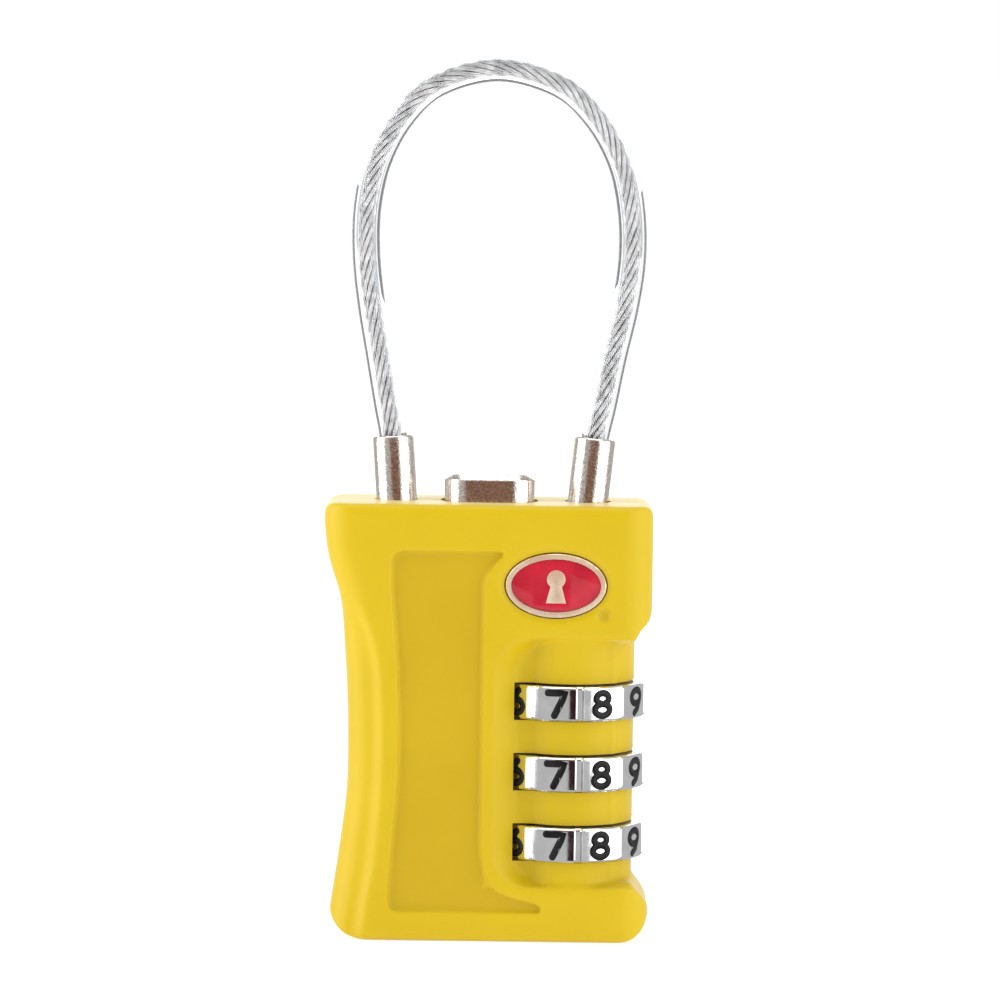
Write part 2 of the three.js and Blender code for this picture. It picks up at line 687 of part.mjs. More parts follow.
function sheath() {
  const section = roundSection(sheathRadius);
  section.holes.push(roundSection(sheathBore));
  return alongCable(section);
}

// a turned ferrule, drawn on its own axis with 0 at the case's top: a groove below, the cable above
function ferrule(foot) {
  const [r, top] = [ferruleRadius, ferruleProud];
  const groove = r - grooveCut;
  const bore = sheathRadius + 0.25;
  const seat = ferruleProud - cableSeat - 0.4;
  const profile = [
    [0, foot], [r - 0.7, foot], [r, foot + 0.9],
    [r, -grooveDepth - 0.6], [groove, -grooveDepth - 0.6],
    [groove, -grooveDepth + 0.6], [r, -grooveDepth + 0.6],
    [r, top - 0.25], [r - 0.2, top], [bore, top], [bore, seat], [0, seat],
  ].map(([x, y]) => new THREE.Vector2(x, y));
  profile.push(profile[0].clone());
  return new THREE.LatheGeometry(profile, 28).rotateX(Math.PI / 2);
}

function ferruleClip() {
  const outer = rod(0, 0, -0.3, 0.3, ferruleRadius + clipProud, 24);
  return outer.subtract(rod(0, 0, -1, 1, ferruleRadius - grooveCut + 0.15, 20))
    .subtract(box([-0.9, 0, -1], [0.9, 4, 1]));
}

// ---------------------------------------------------------------- screws

function screw() {
  const { radius, height } = screwHead;
  const length = screwShank.length;
  const profile = [[0, 0], [radius, 0], [radius, height - 0.2], [radius - 0.2, height], [0, height]];
  const head = new THREE.LatheGeometry(profile.map(([x, y]) => new THREE.Vector2(x, y)), 20);
  const cross = [box([-0.9, height - 0.5, -0.2], [0.9, height + 1, 0.2]),
    box([-0.2, height - 0.5, -0.9], [0.2, height + 1, 0.9])];
  return toSolid(head)
    .add(crossRod(0, 0, -length, 0.2, screwShank.radius, 12))
    .subtract(cross[0]).subtract(cross[1]);
}

// ---------------------------------------------------------------- the assembly

const lock = new THREE.Group();
lock.add(part('front_housing', toGeometry(frontHalf), materials.casing));
lock.add(part('rear_housing', toGeometry(rearHalf), materials.casing));
lock.add(part('badge_rim', badgeRimPiece(), materials.nickel));
lock.add(part('badge_inlay', badgeInlayPiece(), materials.enamel));

dialHeights.forEach((z, i) => {
  const dial = new THREE.Group();
  dial.position.set(dialAxisX, 0, z);
  dial.add(part(`dial_wheel_${i + 1}`, toGeometry(dialWheel()), materials.dialChrome));
  dial.add(part(`dial_sleeve_${i + 1}`, toGeometry(dialSleeve()), materials.brass));
  lock.add(dial);
});
lock.add(part('dial_detent_spring', toGeometry(detentSpring()), materials.steel));
lock.add(part('spindle_bush', toGeometry(spindleBush()), materials.brass));
lock.add(part('spindle', toGeometry(spindle()), materials.steel));
lock.add(part('spindle_clip', toGeometry(spindleClip()), materials.steel));

lock.add(part('push_button', toGeometry(pushButton()), materials.nickel));
lock.add(part('release_plate', toGeometry(releasePlate()), materials.steel));
lock.add(part('button_spring', coil(2.8, 0.28, upperLow + 0.05, flangeLow - 0.05, 4), materials.steel));
lock.add(part('catch_leaf', toGeometry(catchLeaf()), materials.steel));
lock.add(part('catch_rivet', toGeometry(catchRivet()), materials.steel));

lock.add(part('key_barrel', toGeometry(keyBarrel()), materials.brass));
lock.add(part('key_plug', toGeometry(keyPlug()), materials.brass));
waferHeights.forEach((z, i) => {
  lock.add(part(`key_wafer_${i + 1}`, toGeometry(wafer(z)), materials.brass));
});
lock.add(part('key_cam', toGeometry(keyCam()), materials.steel));
lock.add(part('override_slide', toGeometry(overrideSlide()), materials.steel));

for (const [side, x, lean] of [['left', leftFerruleX, -leftFerruleLean],
  ['right', rightFerruleX, rightFerruleLean]]) {
  const leaning = new THREE.Group();
  leaning.position.set(x, 0, caseHeight);
  leaning.rotation.y = lean * degree;
  if (side === 'left') {
    leaning.add(part('ferrule_fixed', ferrule(-ferruleDepth + 0.3), materials.nickel));
    const clip = part('ferrule_retainer', toGeometry(ferruleClip()), materials.steel);
    clip.position.z = -grooveDepth;
    leaning.add(clip);
  } else {
    leaning.add(part('ferrule_free', ferrule(-ferruleDepth + 0.3), materials.nickel));
  }
  lock.add(leaning);
}
lock.add(part('cable_core', alongCable(roundSection(ropeRadius)), materials.rope));
lock.add(part('cable_sheath', sheath(), materials.clearSheath));

screwPlaces.forEach(([x, z], i) => {
  const piece = part(`housing_screw_${i + 1}`, toGeometry(screw()), materials.steel);
  piece.position.set(x, halfDepth - screwHead.depth - screwHead.height, z);
  lock.add(piece);
});

export default lock;
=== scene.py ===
# Cable luggage lock: the visual model and its studio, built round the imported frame.
import json
import math

import bmesh
import bpy
from mathutils import Matrix, Vector


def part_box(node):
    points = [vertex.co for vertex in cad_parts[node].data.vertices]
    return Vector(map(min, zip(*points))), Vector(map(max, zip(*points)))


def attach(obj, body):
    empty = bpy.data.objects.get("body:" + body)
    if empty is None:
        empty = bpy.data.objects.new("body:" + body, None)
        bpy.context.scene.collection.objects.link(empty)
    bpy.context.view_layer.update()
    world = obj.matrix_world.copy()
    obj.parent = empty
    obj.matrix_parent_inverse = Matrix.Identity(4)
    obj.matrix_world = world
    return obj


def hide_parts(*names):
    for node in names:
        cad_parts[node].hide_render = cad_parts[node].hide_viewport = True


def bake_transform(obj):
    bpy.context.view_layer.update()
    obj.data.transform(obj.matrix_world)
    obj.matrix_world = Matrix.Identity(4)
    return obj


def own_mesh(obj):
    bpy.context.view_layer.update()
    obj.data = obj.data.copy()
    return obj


mm = 0.001
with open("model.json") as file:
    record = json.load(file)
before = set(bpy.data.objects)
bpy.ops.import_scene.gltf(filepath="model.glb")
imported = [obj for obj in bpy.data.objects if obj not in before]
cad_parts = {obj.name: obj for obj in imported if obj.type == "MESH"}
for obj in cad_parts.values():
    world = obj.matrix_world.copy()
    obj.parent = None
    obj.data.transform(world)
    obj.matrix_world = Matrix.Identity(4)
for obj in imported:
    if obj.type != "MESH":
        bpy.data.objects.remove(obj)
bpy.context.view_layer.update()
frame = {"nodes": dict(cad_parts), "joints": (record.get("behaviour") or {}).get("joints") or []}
scene = bpy.context.scene
print("frame loaded")


def nodeBox(node):
    low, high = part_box(node)
    return Vector(low) / mm, Vector(high) / mm


def bodyJoint(name):
    return next(j for j in frame["joints"] if j["name"] == name)


# places taken from the frame, in millimetres
caseLow, caseHigh = nodeBox("front_housing")
rearHigh = nodeBox("rear_housing")[1]
lock = {
    "half": caseHigh.x,
    "left": caseLow.x,
    "top": caseHigh.z,
    "front": caseLow.y,
    "depth": rearHigh.y,
    "seam": 0.06,
}
dialBoxes = [nodeBox(f"dial_wheel_{n}") for n in (1, 2, 3)]
dialAxisX = bodyJoint("dial_1_turn")["pos_m"][0] / mm
dialRadius = dialBoxes[0][1].y
dialHeights = [(low.z + high.z) / 2 for low, high in dialBoxes]
keyAxisX = bodyJoint("key_turn")["pos_m"][0] / mm
buttonTop = nodeBox("push_button")[1].z


# mesh helpers; bmeshes are drawn in millimetres and come out in metres
def objectFrom(name, bm):
    mesh = bpy.data.meshes.new(name)
    bm.to_mesh(mesh)
    bm.free()
    piece = bpy.data.objects.new(name, mesh)
    scene.collection.objects.link(piece)
    return piece


def copied(source):
    piece = source.copy()
    piece.data = source.data.copy()
    scene.collection.objects.link(piece)
    return piece


def applied(piece):
    graph = bpy.context.evaluated_depsgraph_get()
    mesh = bpy.data.meshes.new_from_object(piece.evaluated_get(graph))
    old = piece.data
    piece.modifiers.clear()
    piece.data = mesh
    bpy.data.meshes.remove(old)
    return piece


def combine(piece, tool, operation="DIFFERENCE"):
    cut = piece.modifiers.new("cut", "BOOLEAN")
    cut.object = tool
    cut.operation = operation
    cut.solver = "MANIFOLD"
    applied(piece)
    bpy.data.objects.remove(tool)
    return piece


def softened(piece, voxel, rounds, factor=0.5):
    remesh = piece.modifiers.new("remesh", "REMESH")
    remesh.mode = "VOXEL"
    remesh.voxel_size = voxel
    smooth = piece.modifiers.new("smooth", "SMOOTH")
    smooth.factor = factor
    smooth.iterations = rounds
    return applied(piece)


# outline points swept along Z or Y
def prism(outline, axis, low, high, bevel=0, segments=3):
    bm = bmesh.new()
    if axis == "Z":
        ring = [bm.verts.new((x, y, low)) for x, y in outline]
        push = Vector((0, 0, high - low))
    else:
        ring = [bm.verts.new((x, low, z)) for x, z in outline]
        push = Vector((0, high - low, 0))
    face = bm.faces.new(ring)
    grown = bmesh.ops.extrude_face_region(bm, geom=[face])
    far = [v for v in grown["geom"] if isinstance(v, bmesh.types.BMVert)]
    bmesh.ops.translate(bm, vec=push, verts=far)
    bmesh.ops.recalc_face_normals(bm, faces=bm.faces)
    if bevel:
        caps = [f for f in bm.faces if abs(f.normal.dot(push.normalized())) > 0.9]
        rims = {e for f in caps for e in f.edges}
        bmesh.ops.bevel(bm, geom=list(rims), offset=bevel, affect="EDGES", segments=segments,
                        profile=0.5, material=-1)
    return bm


def block(low, high):
    bm = bmesh.new()
    bmesh.ops.create_cube(bm, size=1)
    low, high = Vector(low), Vector(high)
    bmesh.ops.scale(bm, vec=high - low, verts=bm.verts)
    bmesh.ops.translate(bm, vec=(low + high) / 2, verts=bm.verts)
    return bm


def rod(x, y, low, high, radius, segments=64, top=None):
    bm = bmesh.new()
    bmesh.ops.create_cone(bm, cap_ends=True, segments=segments, radius1=radius,
                          radius2=radius if top is None else top, depth=high - low)
    bmesh.ops.translate(bm, vec=(x, y, (low + high) / 2), verts=bm.verts)
    return bm


# a closed profile of radius and height spun about Z
def turned(profile, steps=64):
    bm = bmesh.new()
    ring = [bm.verts.new((r, 0, z)) for r, z in profile]
    edges = [bm.edges.new(pair) for pair in zip(ring, ring[1:])]
    bmesh.ops.spin(bm, geom=ring + edges, cent=(0, 0, 0), axis=(0, 0, 1), angle=2 * math.pi,
                   steps=steps, use_merge=True)
    bmesh.ops.remove_doubles(bm, verts=bm.verts, dist=1e-4)
    bmesh.ops.recalc_face_normals(bm, faces=bm.faces)
    return bm


# round tubes along lines of points, all in one mesh
def tubeMesh(name, lines, radius, sides, caps=True, closed=False):
    data = bpy.data.curves.new(name, "CURVE")
    data.dimensions = "3D"
    data.bevel_depth = radius
    data.bevel_resolution = sides
    data.use_fill_caps = caps
    for line in lines:
        spline = data.splines.new("POLY")
        spline.points.add(len(line) - 1)
        for point, place in zip(spline.points, line):
            point.co = (*place, 1)
        spline.use_cyclic_u = closed
    curve = bpy.data.objects.new(name, data)
    scene.collection.objects.link(curve)
    graph = bpy.context.evaluated_depsgraph_get()
    mesh = bpy.data.meshes.new_from_object(curve.evaluated_get(graph))
    bpy.data.objects.remove(curve)
    return mesh


# points on part of an ellipse, angles in degrees
def arc(cx, cy, rx, ry, start, end, steps):
    angles = [math.radians(start + (end - start) * i / steps) for i in range(steps + 1)]
    return [(cx + rx * math.cos(a), cy + ry * math.sin(a)) for a in angles]


def roundedBox(halfX, halfY, radius, steps=8):
    corners = [(1, -1, -90), (1, 1, 0), (-1, 1, 90), (-1, -1, 180)]
    points = []
    for sx, sy, start in corners:
        points += arc(sx * (halfX - radius), sy * (halfY - radius), radius, radius, start, start + 90, steps)
    return points


# a smooth open line through points, as a list of points
def curved(points, steps):
    out = []
    for i in range(len(points) - 1):
        around = [Vector(points[max(0, min(len(points) - 1, i + k))]) for k in (-1, 0, 1, 2)]
        a, b, c, d = around
        for k in range(steps):
            t = k / steps
            out.append(0.5 * (2 * b + (c - a) * t + (2 * a - 5 * b + 4 * c - d) * t * t
                              + (3 * b - a - 3 * c + d) * t ** 3))
    return out + [Vector(points[-1])]


def smoothStep(low, high, value):
    t = max(0, min(1, (value - low) / (high - low)))
    return t * t * (3 - 2 * t)


# gives a finished mesh its size in metres, shading, material and place in the assembly
def finished(piece, name, material, body, replaced=(), slot=None, sharp=35):
    mesh = piece.data
    mesh.transform(Matrix.Scale(mm, 4))
    piece.name = mesh.name = name
    mesh.materials.clear()
    for each in material if isinstance(material, (list, tuple)) else [material]:
        mesh.materials.append(each)
    mesh.shade_smooth()
    if sharp:
        mesh.set_sharp_from_angle(angle=math.radians(sharp))
    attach(piece, body)
    if replaced:
        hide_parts(*replaced)
    return piece


# shader node groups shared by several materials
def nodeGroup(name, inputs, outputs):
    group = bpy.data.node_groups.new(name, "ShaderNodeTree")
    for label, kind, value in inputs:
        socket = group.interface.new_socket(label, in_out="INPUT", socket_type=kind)
        if value is not None:
            socket.default_value = value
    for label, kind in outputs:
        group.interface.new_socket(label, in_out="OUTPUT", socket_type=kind)
    return group, group.nodes.new("NodeGroupInput"), group.nodes.new("NodeGroupOutput")


def noiseNode(tree, coords, scale, detail=3, roughness=0.5):
    node = tree.nodes.new("ShaderNodeTexNoise")
    node.inputs["Detail"].default_value = detail
    node.inputs["Roughness"].default_value = roughness
    tree.links.new(coords, node.inputs["Vector"])
    if hasattr(scale, "is_linked"):
        tree.links.new(scale, node.inputs["Scale"])
    else:
        node.inputs["Scale"].default_value = scale
    return node


def mapRange(tree, value, fromLow, fromHigh, toLow, toHigh):
    node = tree.nodes.new("ShaderNodeMapRange")
    numbers = {"From Min": fromLow, "From Max": fromHigh, "To Min": toLow, "To Max": toHigh}
    for label, number in numbers.items():
        if hasattr(number, "is_linked"):
            tree.links.new(number, node.inputs[label])
        else:
            node.inputs[label].default_value = number
    tree.links.new(value, node.inputs["Value"])
    return node.outputs["Result"]


# a colour multiplied by a tint where the mask is high
def tinted(tree, colour, tint, mask):
    mix = tree.nodes.new("ShaderNodeMix")
    mix.data_type = "RGBA"
    mix.blend_type = "MULTIPLY"
    mix.inputs["B"].default_value = (*tint, 1)
    tree.links.new(mask, mix.inputs["Factor"])
    tree.links.new(colour, mix.inputs["A"])
    return mix.outputs["Result"]


# the part of a noise's output that most of it lies in, and the share of the fine grain in the roughness
noiseLow, noiseHigh, grainShare = 0.35, 0.65, 0.35


# fine surface grain: a height for a bump, a slow mottling and a roughness that changes with both
def makeGrainGroup():
    group, source, sink = nodeGroup(
        "surfaceGrain",
        [("Vector", "NodeSocketVector", None), ("Grain Scale", "NodeSocketFloat", 3000.0),
         ("Mottle Scale", "NodeSocketFloat", 120.0), ("Rough Low", "NodeSocketFloat", 0.3),
         ("Rough High", "NodeSocketFloat", 0.4)],
        [("Height", "NodeSocketFloat"), ("Mottle", "NodeSocketFloat"), ("Roughness", "NodeSocketFloat")])
    grain = noiseNode(group, source.outputs["Vector"], source.outputs["Grain Scale"], 2)
    mottle = noiseNode(group, source.outputs["Vector"], source.outputs["Mottle Scale"], 3)
    mixed = group.nodes.new("ShaderNodeMath")
    mixed.operation = "MULTIPLY_ADD"
    mixed.inputs[1].default_value = grainShare
    group.links.new(grain.outputs["Fac"], mixed.inputs[0])
    rest = group.nodes.new("ShaderNodeMath")
    rest.operation = "MULTIPLY"
    rest.inputs[1].default_value = 1 - grainShare
    group.links.new(mottle.outputs["Fac"], rest.inputs[0])
    group.links.new(rest.outputs[0], mixed.inputs[2])
    rough = mapRange(group, mixed.outputs[0], noiseLow, noiseHigh,
                     source.outputs["Rough Low"], source.outputs["Rough High"])
    group.links.new(grain.outputs["Fac"], sink.inputs["Height"])
    group.links.new(mottle.outputs["Fac"], sink.inputs["Mottle"])
    group.links.new(rough, sink.inputs["Roughness"])
    return group


grainGroup = makeGrainGroup()


# a Principled material whose colour, roughness and bump come from the shared grain
def newMaterial(name, look):
    material = bpy.data.materials.new(name)
    material.use_nodes = True
    tree = material.node_tree
    shader = tree.nodes["Principled BSDF"]
    coords = tree.nodes.new("ShaderNodeTexCoord")
    grain = tree.nodes.new("ShaderNodeGroup")
    grain.node_tree = grainGroup
    tree.links.new(coords.outputs["Object"], grain.inputs["Vector"])
    for label, key in (("Grain Scale", "grain"), ("Mottle Scale", "mottle"),
                       ("Rough Low", "roughLow"), ("Rough High", "roughHigh")):
        grain.inputs[label].default_value = look[key]
    ramp = tree.nodes.new("ShaderNodeValToRGB")
    for element, place, key in zip(ramp.color_ramp.elements, (noiseLow, noiseHigh), ("dark", "light")):
        element.position = place
        element.color = (*look[key], 1)
    tree.links.new(grain.outputs["Mottle"], ramp.inputs["Fac"])
    colour = ramp.outputs["Color"]
    if "sunkShade" in look:
        # painted shade: the sunk panel's floor is painted a little darker than the case round it
        mask = tree.nodes.new("ShaderNodeAttribute")
        mask.attribute_name = "sunkShade"
        colour = tinted(tree, colour, look["sunkShade"], mask.outputs["Fac"])
    if "edge" in look:
        # painted shade: the clear plastic is painted grey where it is seen along its wall
        weight = tree.nodes.new("ShaderNodeLayerWeight")
        weight.inputs["Blend"].default_value = 0.5
        low, high = look["edgeShadeRange"]
        colour = tinted(tree, colour, look["edge"], mapRange(tree, weight.outputs["Facing"], low, high, 0, 1))
    tree.links.new(colour, shader.inputs["Base Color"])
    tree.links.new(grain.outputs["Roughness"], shader.inputs["Roughness"])
    bump = tree.nodes.new("ShaderNodeBump")
    bump.inputs["Strength"].default_value = look.get("bump", 0.1)
    bump.inputs["Distance"].default_value = look.get("bumpDepth", 0.00002)
    tree.links.new(grain.outputs["Height"], bump.inputs["Height"])
    tree.links.new(bump.outputs["Normal"], shader.inputs["Normal"])
    shader.inputs["Metallic"].default_value = look.get("metal", 0)
    for label, value in look.get("sockets", {}).items():
        shader.inputs[label].default_value = value
    return material


looks = {
    "yellowCase": {"dark": (0.515, 0.358, 0.0008), "light": (0.54, 0.378, 0.0015), "grain": 2600, "mottle": 90,
                   "roughLow": 0.34, "roughHigh": 0.44, "bump": 0.16, "bumpDepth": 0.00002,
                   # the tint of the painted shade on the sunk panel's floor
                   "sunkShade": (0.9, 0.86, 0.6),
                   "sockets": {"Specular IOR Level": 0.26, "Sheen Weight": 0.36, "Sheen Roughness": 0.3}},
    "dialChrome": {"dark": (0.74, 0.74, 0.75), "light": (0.83, 0.83, 0.84), "grain": 5200, "mottle": 600,
                   "roughLow": 0.07, "roughHigh": 0.13, "bump": 0.12, "bumpDepth": 0.00001, "metal": 1},
    "nickel": {"dark": (0.58, 0.51, 0.45), "light": (0.82, 0.77, 0.71), "grain": 5600, "mottle": 4600,
               "roughLow": 0.1, "roughHigh": 0.22, "bump": 0.5, "bumpDepth": 0.00004, "metal": 1},
    "digitPaint": {"dark": (0.008, 0.008, 0.008), "light": (0.016, 0.016, 0.016), "grain": 3000, "mottle": 500,
                   "roughLow": 0.2, "roughHigh": 0.3, "bump": 0.2, "sockets": {"Specular IOR Level": 0.12}},
    "enamel": {"dark": (0.36, 0.008, 0.022), "light": (0.5, 0.014, 0.034), "grain": 1800, "mottle": 300,
               "roughLow": 0.1, "roughHigh": 0.16, "bump": 0.06,
               "sockets": {"Coat Weight": 0.5, "Coat Roughness": 0.05}},
    "badgePlate": {"dark": (0.82, 0.6, 0.42), "light": (0.9, 0.72, 0.54), "grain": 3500, "mottle": 400,
                   "roughLow": 0.2, "roughHigh": 0.32, "bump": 0.2, "metal": 0.6},
    "brass": {"dark": (0.55, 0.38, 0.13), "light": (0.68, 0.5, 0.2), "grain": 3000, "mottle": 400,
              "roughLow": 0.22, "roughHigh": 0.36, "bump": 0.3, "metal": 1},
    "steel": {"dark": (0.42, 0.42, 0.43), "light": (0.55, 0.55, 0.56), "grain": 3600, "mottle": 500,
              "roughLow": 0.24, "roughHigh": 0.38, "bump": 0.3, "metal": 1},
    "springSteel": {"dark": (0.34, 0.34, 0.36), "light": (0.46, 0.46, 0.48), "grain": 4000, "mottle": 700,
                    "roughLow": 0.18, "roughHigh": 0.3, "bump": 0.2, "metal": 1},
    "ropeWire": {"dark": (0.46, 0.46, 0.47), "light": (0.74, 0.74, 0.75), "grain": 6000, "mottle": 900,
                 "roughLow": 0.25, "roughHigh": 0.42, "bump": 0.4, "bumpDepth": 0.00002, "metal": 1},
}
materials = {name: newMaterial(name, look) for name, look in looks.items()}


# clear soft plastic; its inner wall lies tight on the rope, so light isn't bent there
# the rope's wires touch the bore, so the bore bends no light and the rope looks magnified
def clearPlastic(name, ior):
    return newMaterial(name, {
        "dark": (0.95, 0.96, 0.96), "light": (0.99, 0.99, 0.99), "grain": 1500, "mottle": 250,
        # the grey is painted shade at the sheath's edges, strongest where the wall is seen edge-on
        "roughLow": 0.0, "roughHigh": 0.04, "bump": 0.05, "edge": (0.45, 0.46, 0.48), "edgeShadeRange": (0.3, 0.62),
        "sockets": {"Transmission Weight": 1.0, "IOR": ior}})


materials["clearSheath"] = clearPlastic("clearSheath", 1.46)
materials["sheathBore"] = clearPlastic("sheathBore", 1.0)
print("materials ready")


# camera and studio
studio = {
    "distance": 0.45, "elevation": 4.6, "roll": 0.75, "view": 0.1, "aim": (0.00105, 0, 0.0436),
    "clipStart": 0.01, "backdrop": 1.02, "ambient": 0.57, "floorGrey": 0.92, "floorGlow": 0.5, "cardDistance": 0.62,
    # left, right, low and high edges of each card, and what it gives off
    "cards": {"lowCard": (-0.078, 0.058, -0.2, -0.018, (0.03, 0.006, 0.01)),
              "highCard": (-0.28, 0.28, -0.014, 0.3, (0.27, 0.15, 0.105))},
    # grey flags that only show as the thin dark edges of the clear sheath: low and high corners
    "flags": {"leftFlag": ((-0.36, -0.05, -0.1), (-0.35, 0.4, 0.5)),
              "rightFlag": ((0.35, -0.05, -0.1), (0.36, 0.4, 0.5)),
              "topFlag": ((-0.3, -0.05, 0.42), (0.3, 0.4, 0.43))},
    "flagGrey": 0.22,
    # place, size and the brightness of each softbox
    "softboxes": {"right": ((0.42, -0.2, 0.14), (0.55, 0.6), 2.1),
                  "left": ((-0.46, -0.06, 0.12), (0.4, 0.6), 3.6),
                  "top": ((0, -0.02, 0.5), (0.5, 0.35), 2.2),
                  "back": ((0, 0.5, 0.25), (0.6, 0.4), 1.4)},
    "lightAim": (0, 0, 0.04),
}


def addLight(name, place, aim, size, brightness):
    data = bpy.data.lights.new(name, "AREA")
    data.shape = "RECTANGLE"
    data.size, data.size_y = size
    data.energy = brightness * math.pi * size[0] * size[1]
    light = bpy.data.objects.new(name, data)
    light.location = place
    light.rotation_euler = (Vector(aim) - Vector(place)).to_track_quat("-Z", "Y").to_euler()
    scene.collection.objects.link(light)
    return light


def plainMaterial(name, colour, glow, strength):
    material = bpy.data.materials.new(name)
    material.use_nodes = True
    shader = material.node_tree.nodes["Principled BSDF"]
    shader.inputs["Base Color"].default_value = (*colour, 1)
    shader.inputs["Roughness"].default_value = 0.8
    shader.inputs["Specular IOR Level"].default_value = 0
    shader.inputs["Emission Color"].default_value = (*glow, 1)
    shader.inputs["Emission Strength"].default_value = strength
    return material


def buildStudio():
    camera = bpy.data.objects.new("camera", bpy.data.cameras.new("camera"))
    scene.collection.objects.link(camera)
    scene.camera = camera
    tilt = math.radians(studio["elevation"])
    aim = Vector(studio["aim"])
    camera.location = aim + studio["distance"] * Vector((0, -math.cos(tilt), math.sin(tilt)))
    look = (aim - camera.location).to_track_quat("-Z", "Y").to_matrix()
    camera.rotation_euler = (look @ Matrix.Rotation(math.radians(studio["roll"]), 3, "Z")).to_euler()
    camera.data.angle = 2 * math.atan(studio["view"] / 2 / studio["distance"])
    camera.data.clip_start = studio["clipStart"]

    # white where the camera looks past the lock, a softer level for everything else
    world = bpy.data.worlds.new("studio")
    world.use_nodes = True
    tree = world.node_tree
    tree.nodes["Background"].inputs["Color"].default_value = (1, 1, 1, 1)
    path = tree.nodes.new("ShaderNodeLightPath")
    seen = tree.nodes.new("ShaderNodeMath")
    seen.operation = "MAXIMUM"
    tree.links.new(path.outputs["Is Camera Ray"], seen.inputs[0])
    tree.links.new(path.outputs["Is Transmission Ray"], seen.inputs[1])
    level = mapRange(tree, seen.outputs[0], 0, 1, studio["ambient"], studio["backdrop"])
    tree.links.new(level, tree.nodes["Background"].inputs["Strength"])
    scene.world = world
    scene.view_settings.view_transform = "Standard"

    floor = objectFrom("floor", block((-1500, -1500, -1), (1500, 1500, 0)))
    floor.data.transform(Matrix.Scale(mm, 4))
    pale = plainMaterial("paleFloor", [studio["floorGrey"]] * 3, (1, 1, 1), studio["floorGlow"])
    floor.data.materials.append(pale)
    floor.visible_glossy = False

    # brown cards by the camera, which only reflections see
    for name, (left, right, low, high, glow) in studio["cards"].items():
        card = objectFrom(name, block((left / mm, -1, low / mm), (right / mm, 0, high / mm)))
        card.data.transform(Matrix.Translation((0, -studio["cardDistance"], 0)) @ Matrix.Scale(mm, 4))
        card.data.materials.append(plainMaterial(name, (0, 0, 0), glow, 1))
        for kind in ("camera", "diffuse", "shadow", "transmission"):
            setattr(card, f"visible_{kind}", False)
    for name, (low, high) in studio["flags"].items():
        flag = objectFrom(name, block(Vector(low) / mm, Vector(high) / mm))
        flag.data.transform(Matrix.Scale(mm, 4))
        flag.data.materials.append(plainMaterial(name, (0, 0, 0), (1, 1, 1), studio["flagGrey"]))
        for kind in ("camera", "diffuse", "glossy", "shadow"):
            setattr(flag, f"visible_{kind}", False)
    for name, (place, size, brightness) in studio["softboxes"].items():
        addLight(name, place, studio["lightAim"], size, brightness)


buildStudio()
print("studio ready")


# the cable; its route repeats the CAD model's points
cable = {
    # the loop between the ferrules, in heights above the case
    "loop": [(-10.3, 9.6), (-11.15, 14.5), (-12, 19.4), (-12.55, 24.2), (-12.5, 29.1), (-11.45, 33.9),
             (-9.1, 38.3), (-5.6, 41.5), (0.4, 43.05), (6.5, 41.5), (10.15, 38.3), (12.65, 33.9), (13.75, 29.1),
             (13.9, 24.2), (13.25, 19.4), (12.15, 14.5), (11.2, 9.6)],
    "sheath": 1.4, "bore": 0.66, "rope": 0.58, "strands": 6, "strandRadius": 0.185, "strandPitch": 9.0,
    "wires": 6, "wireRadius": 0.066, "wirePitch": 4.2, "leftLean": 3.8, "rightLean": 5.8,
    "leftX": -9.27, "rightX": 9.84, "seat": 0.8, "inside": 3, "proud": 6.4, "curveSteps": 12, "step": 0.45,
}


def cableRoute():
    top = lock["top"]
    left, right = (math.tan(math.radians(cable[k])) for k in ("leftLean", "rightLean"))
    heights = [cable[k] for k in ("seat", "inside", "proud")]
    points = [(cable["leftX"] - left * z, top + z) for z in heights]
    points += [(x, top + z) for x, z in cable["loop"]]
    points += [(cable["rightX"] + right * z, top + z) for z in reversed(heights)]
    return [Vector((p[0], 0, p[1])) for p in curved(points, cable["curveSteps"])]


# the same line with points an even distance apart
def evenly(points, step):
    lengths = [0]
    for a, b in zip(points, points[1:]):
        lengths.append(lengths[-1] + (b - a).length)
    count = round(lengths[-1] / step)
    out, k = [], 0
    for i in range(count + 1):
        goal = lengths[-1] * i / count
        while k < len(points) - 2 and lengths[k + 1] < goal:
            k += 1
        share = (goal - lengths[k]) / (lengths[k + 1] - lengths[k])
        out.append(points[k].lerp(points[k + 1], share))
    return out, lengths[-1]


def tubeObject(name, lines, radius, sides, caps):
    piece = bpy.data.objects.new(name, tubeMesh(name, lines, radius, sides, caps))
    scene.collection.objects.link(piece)
    return piece


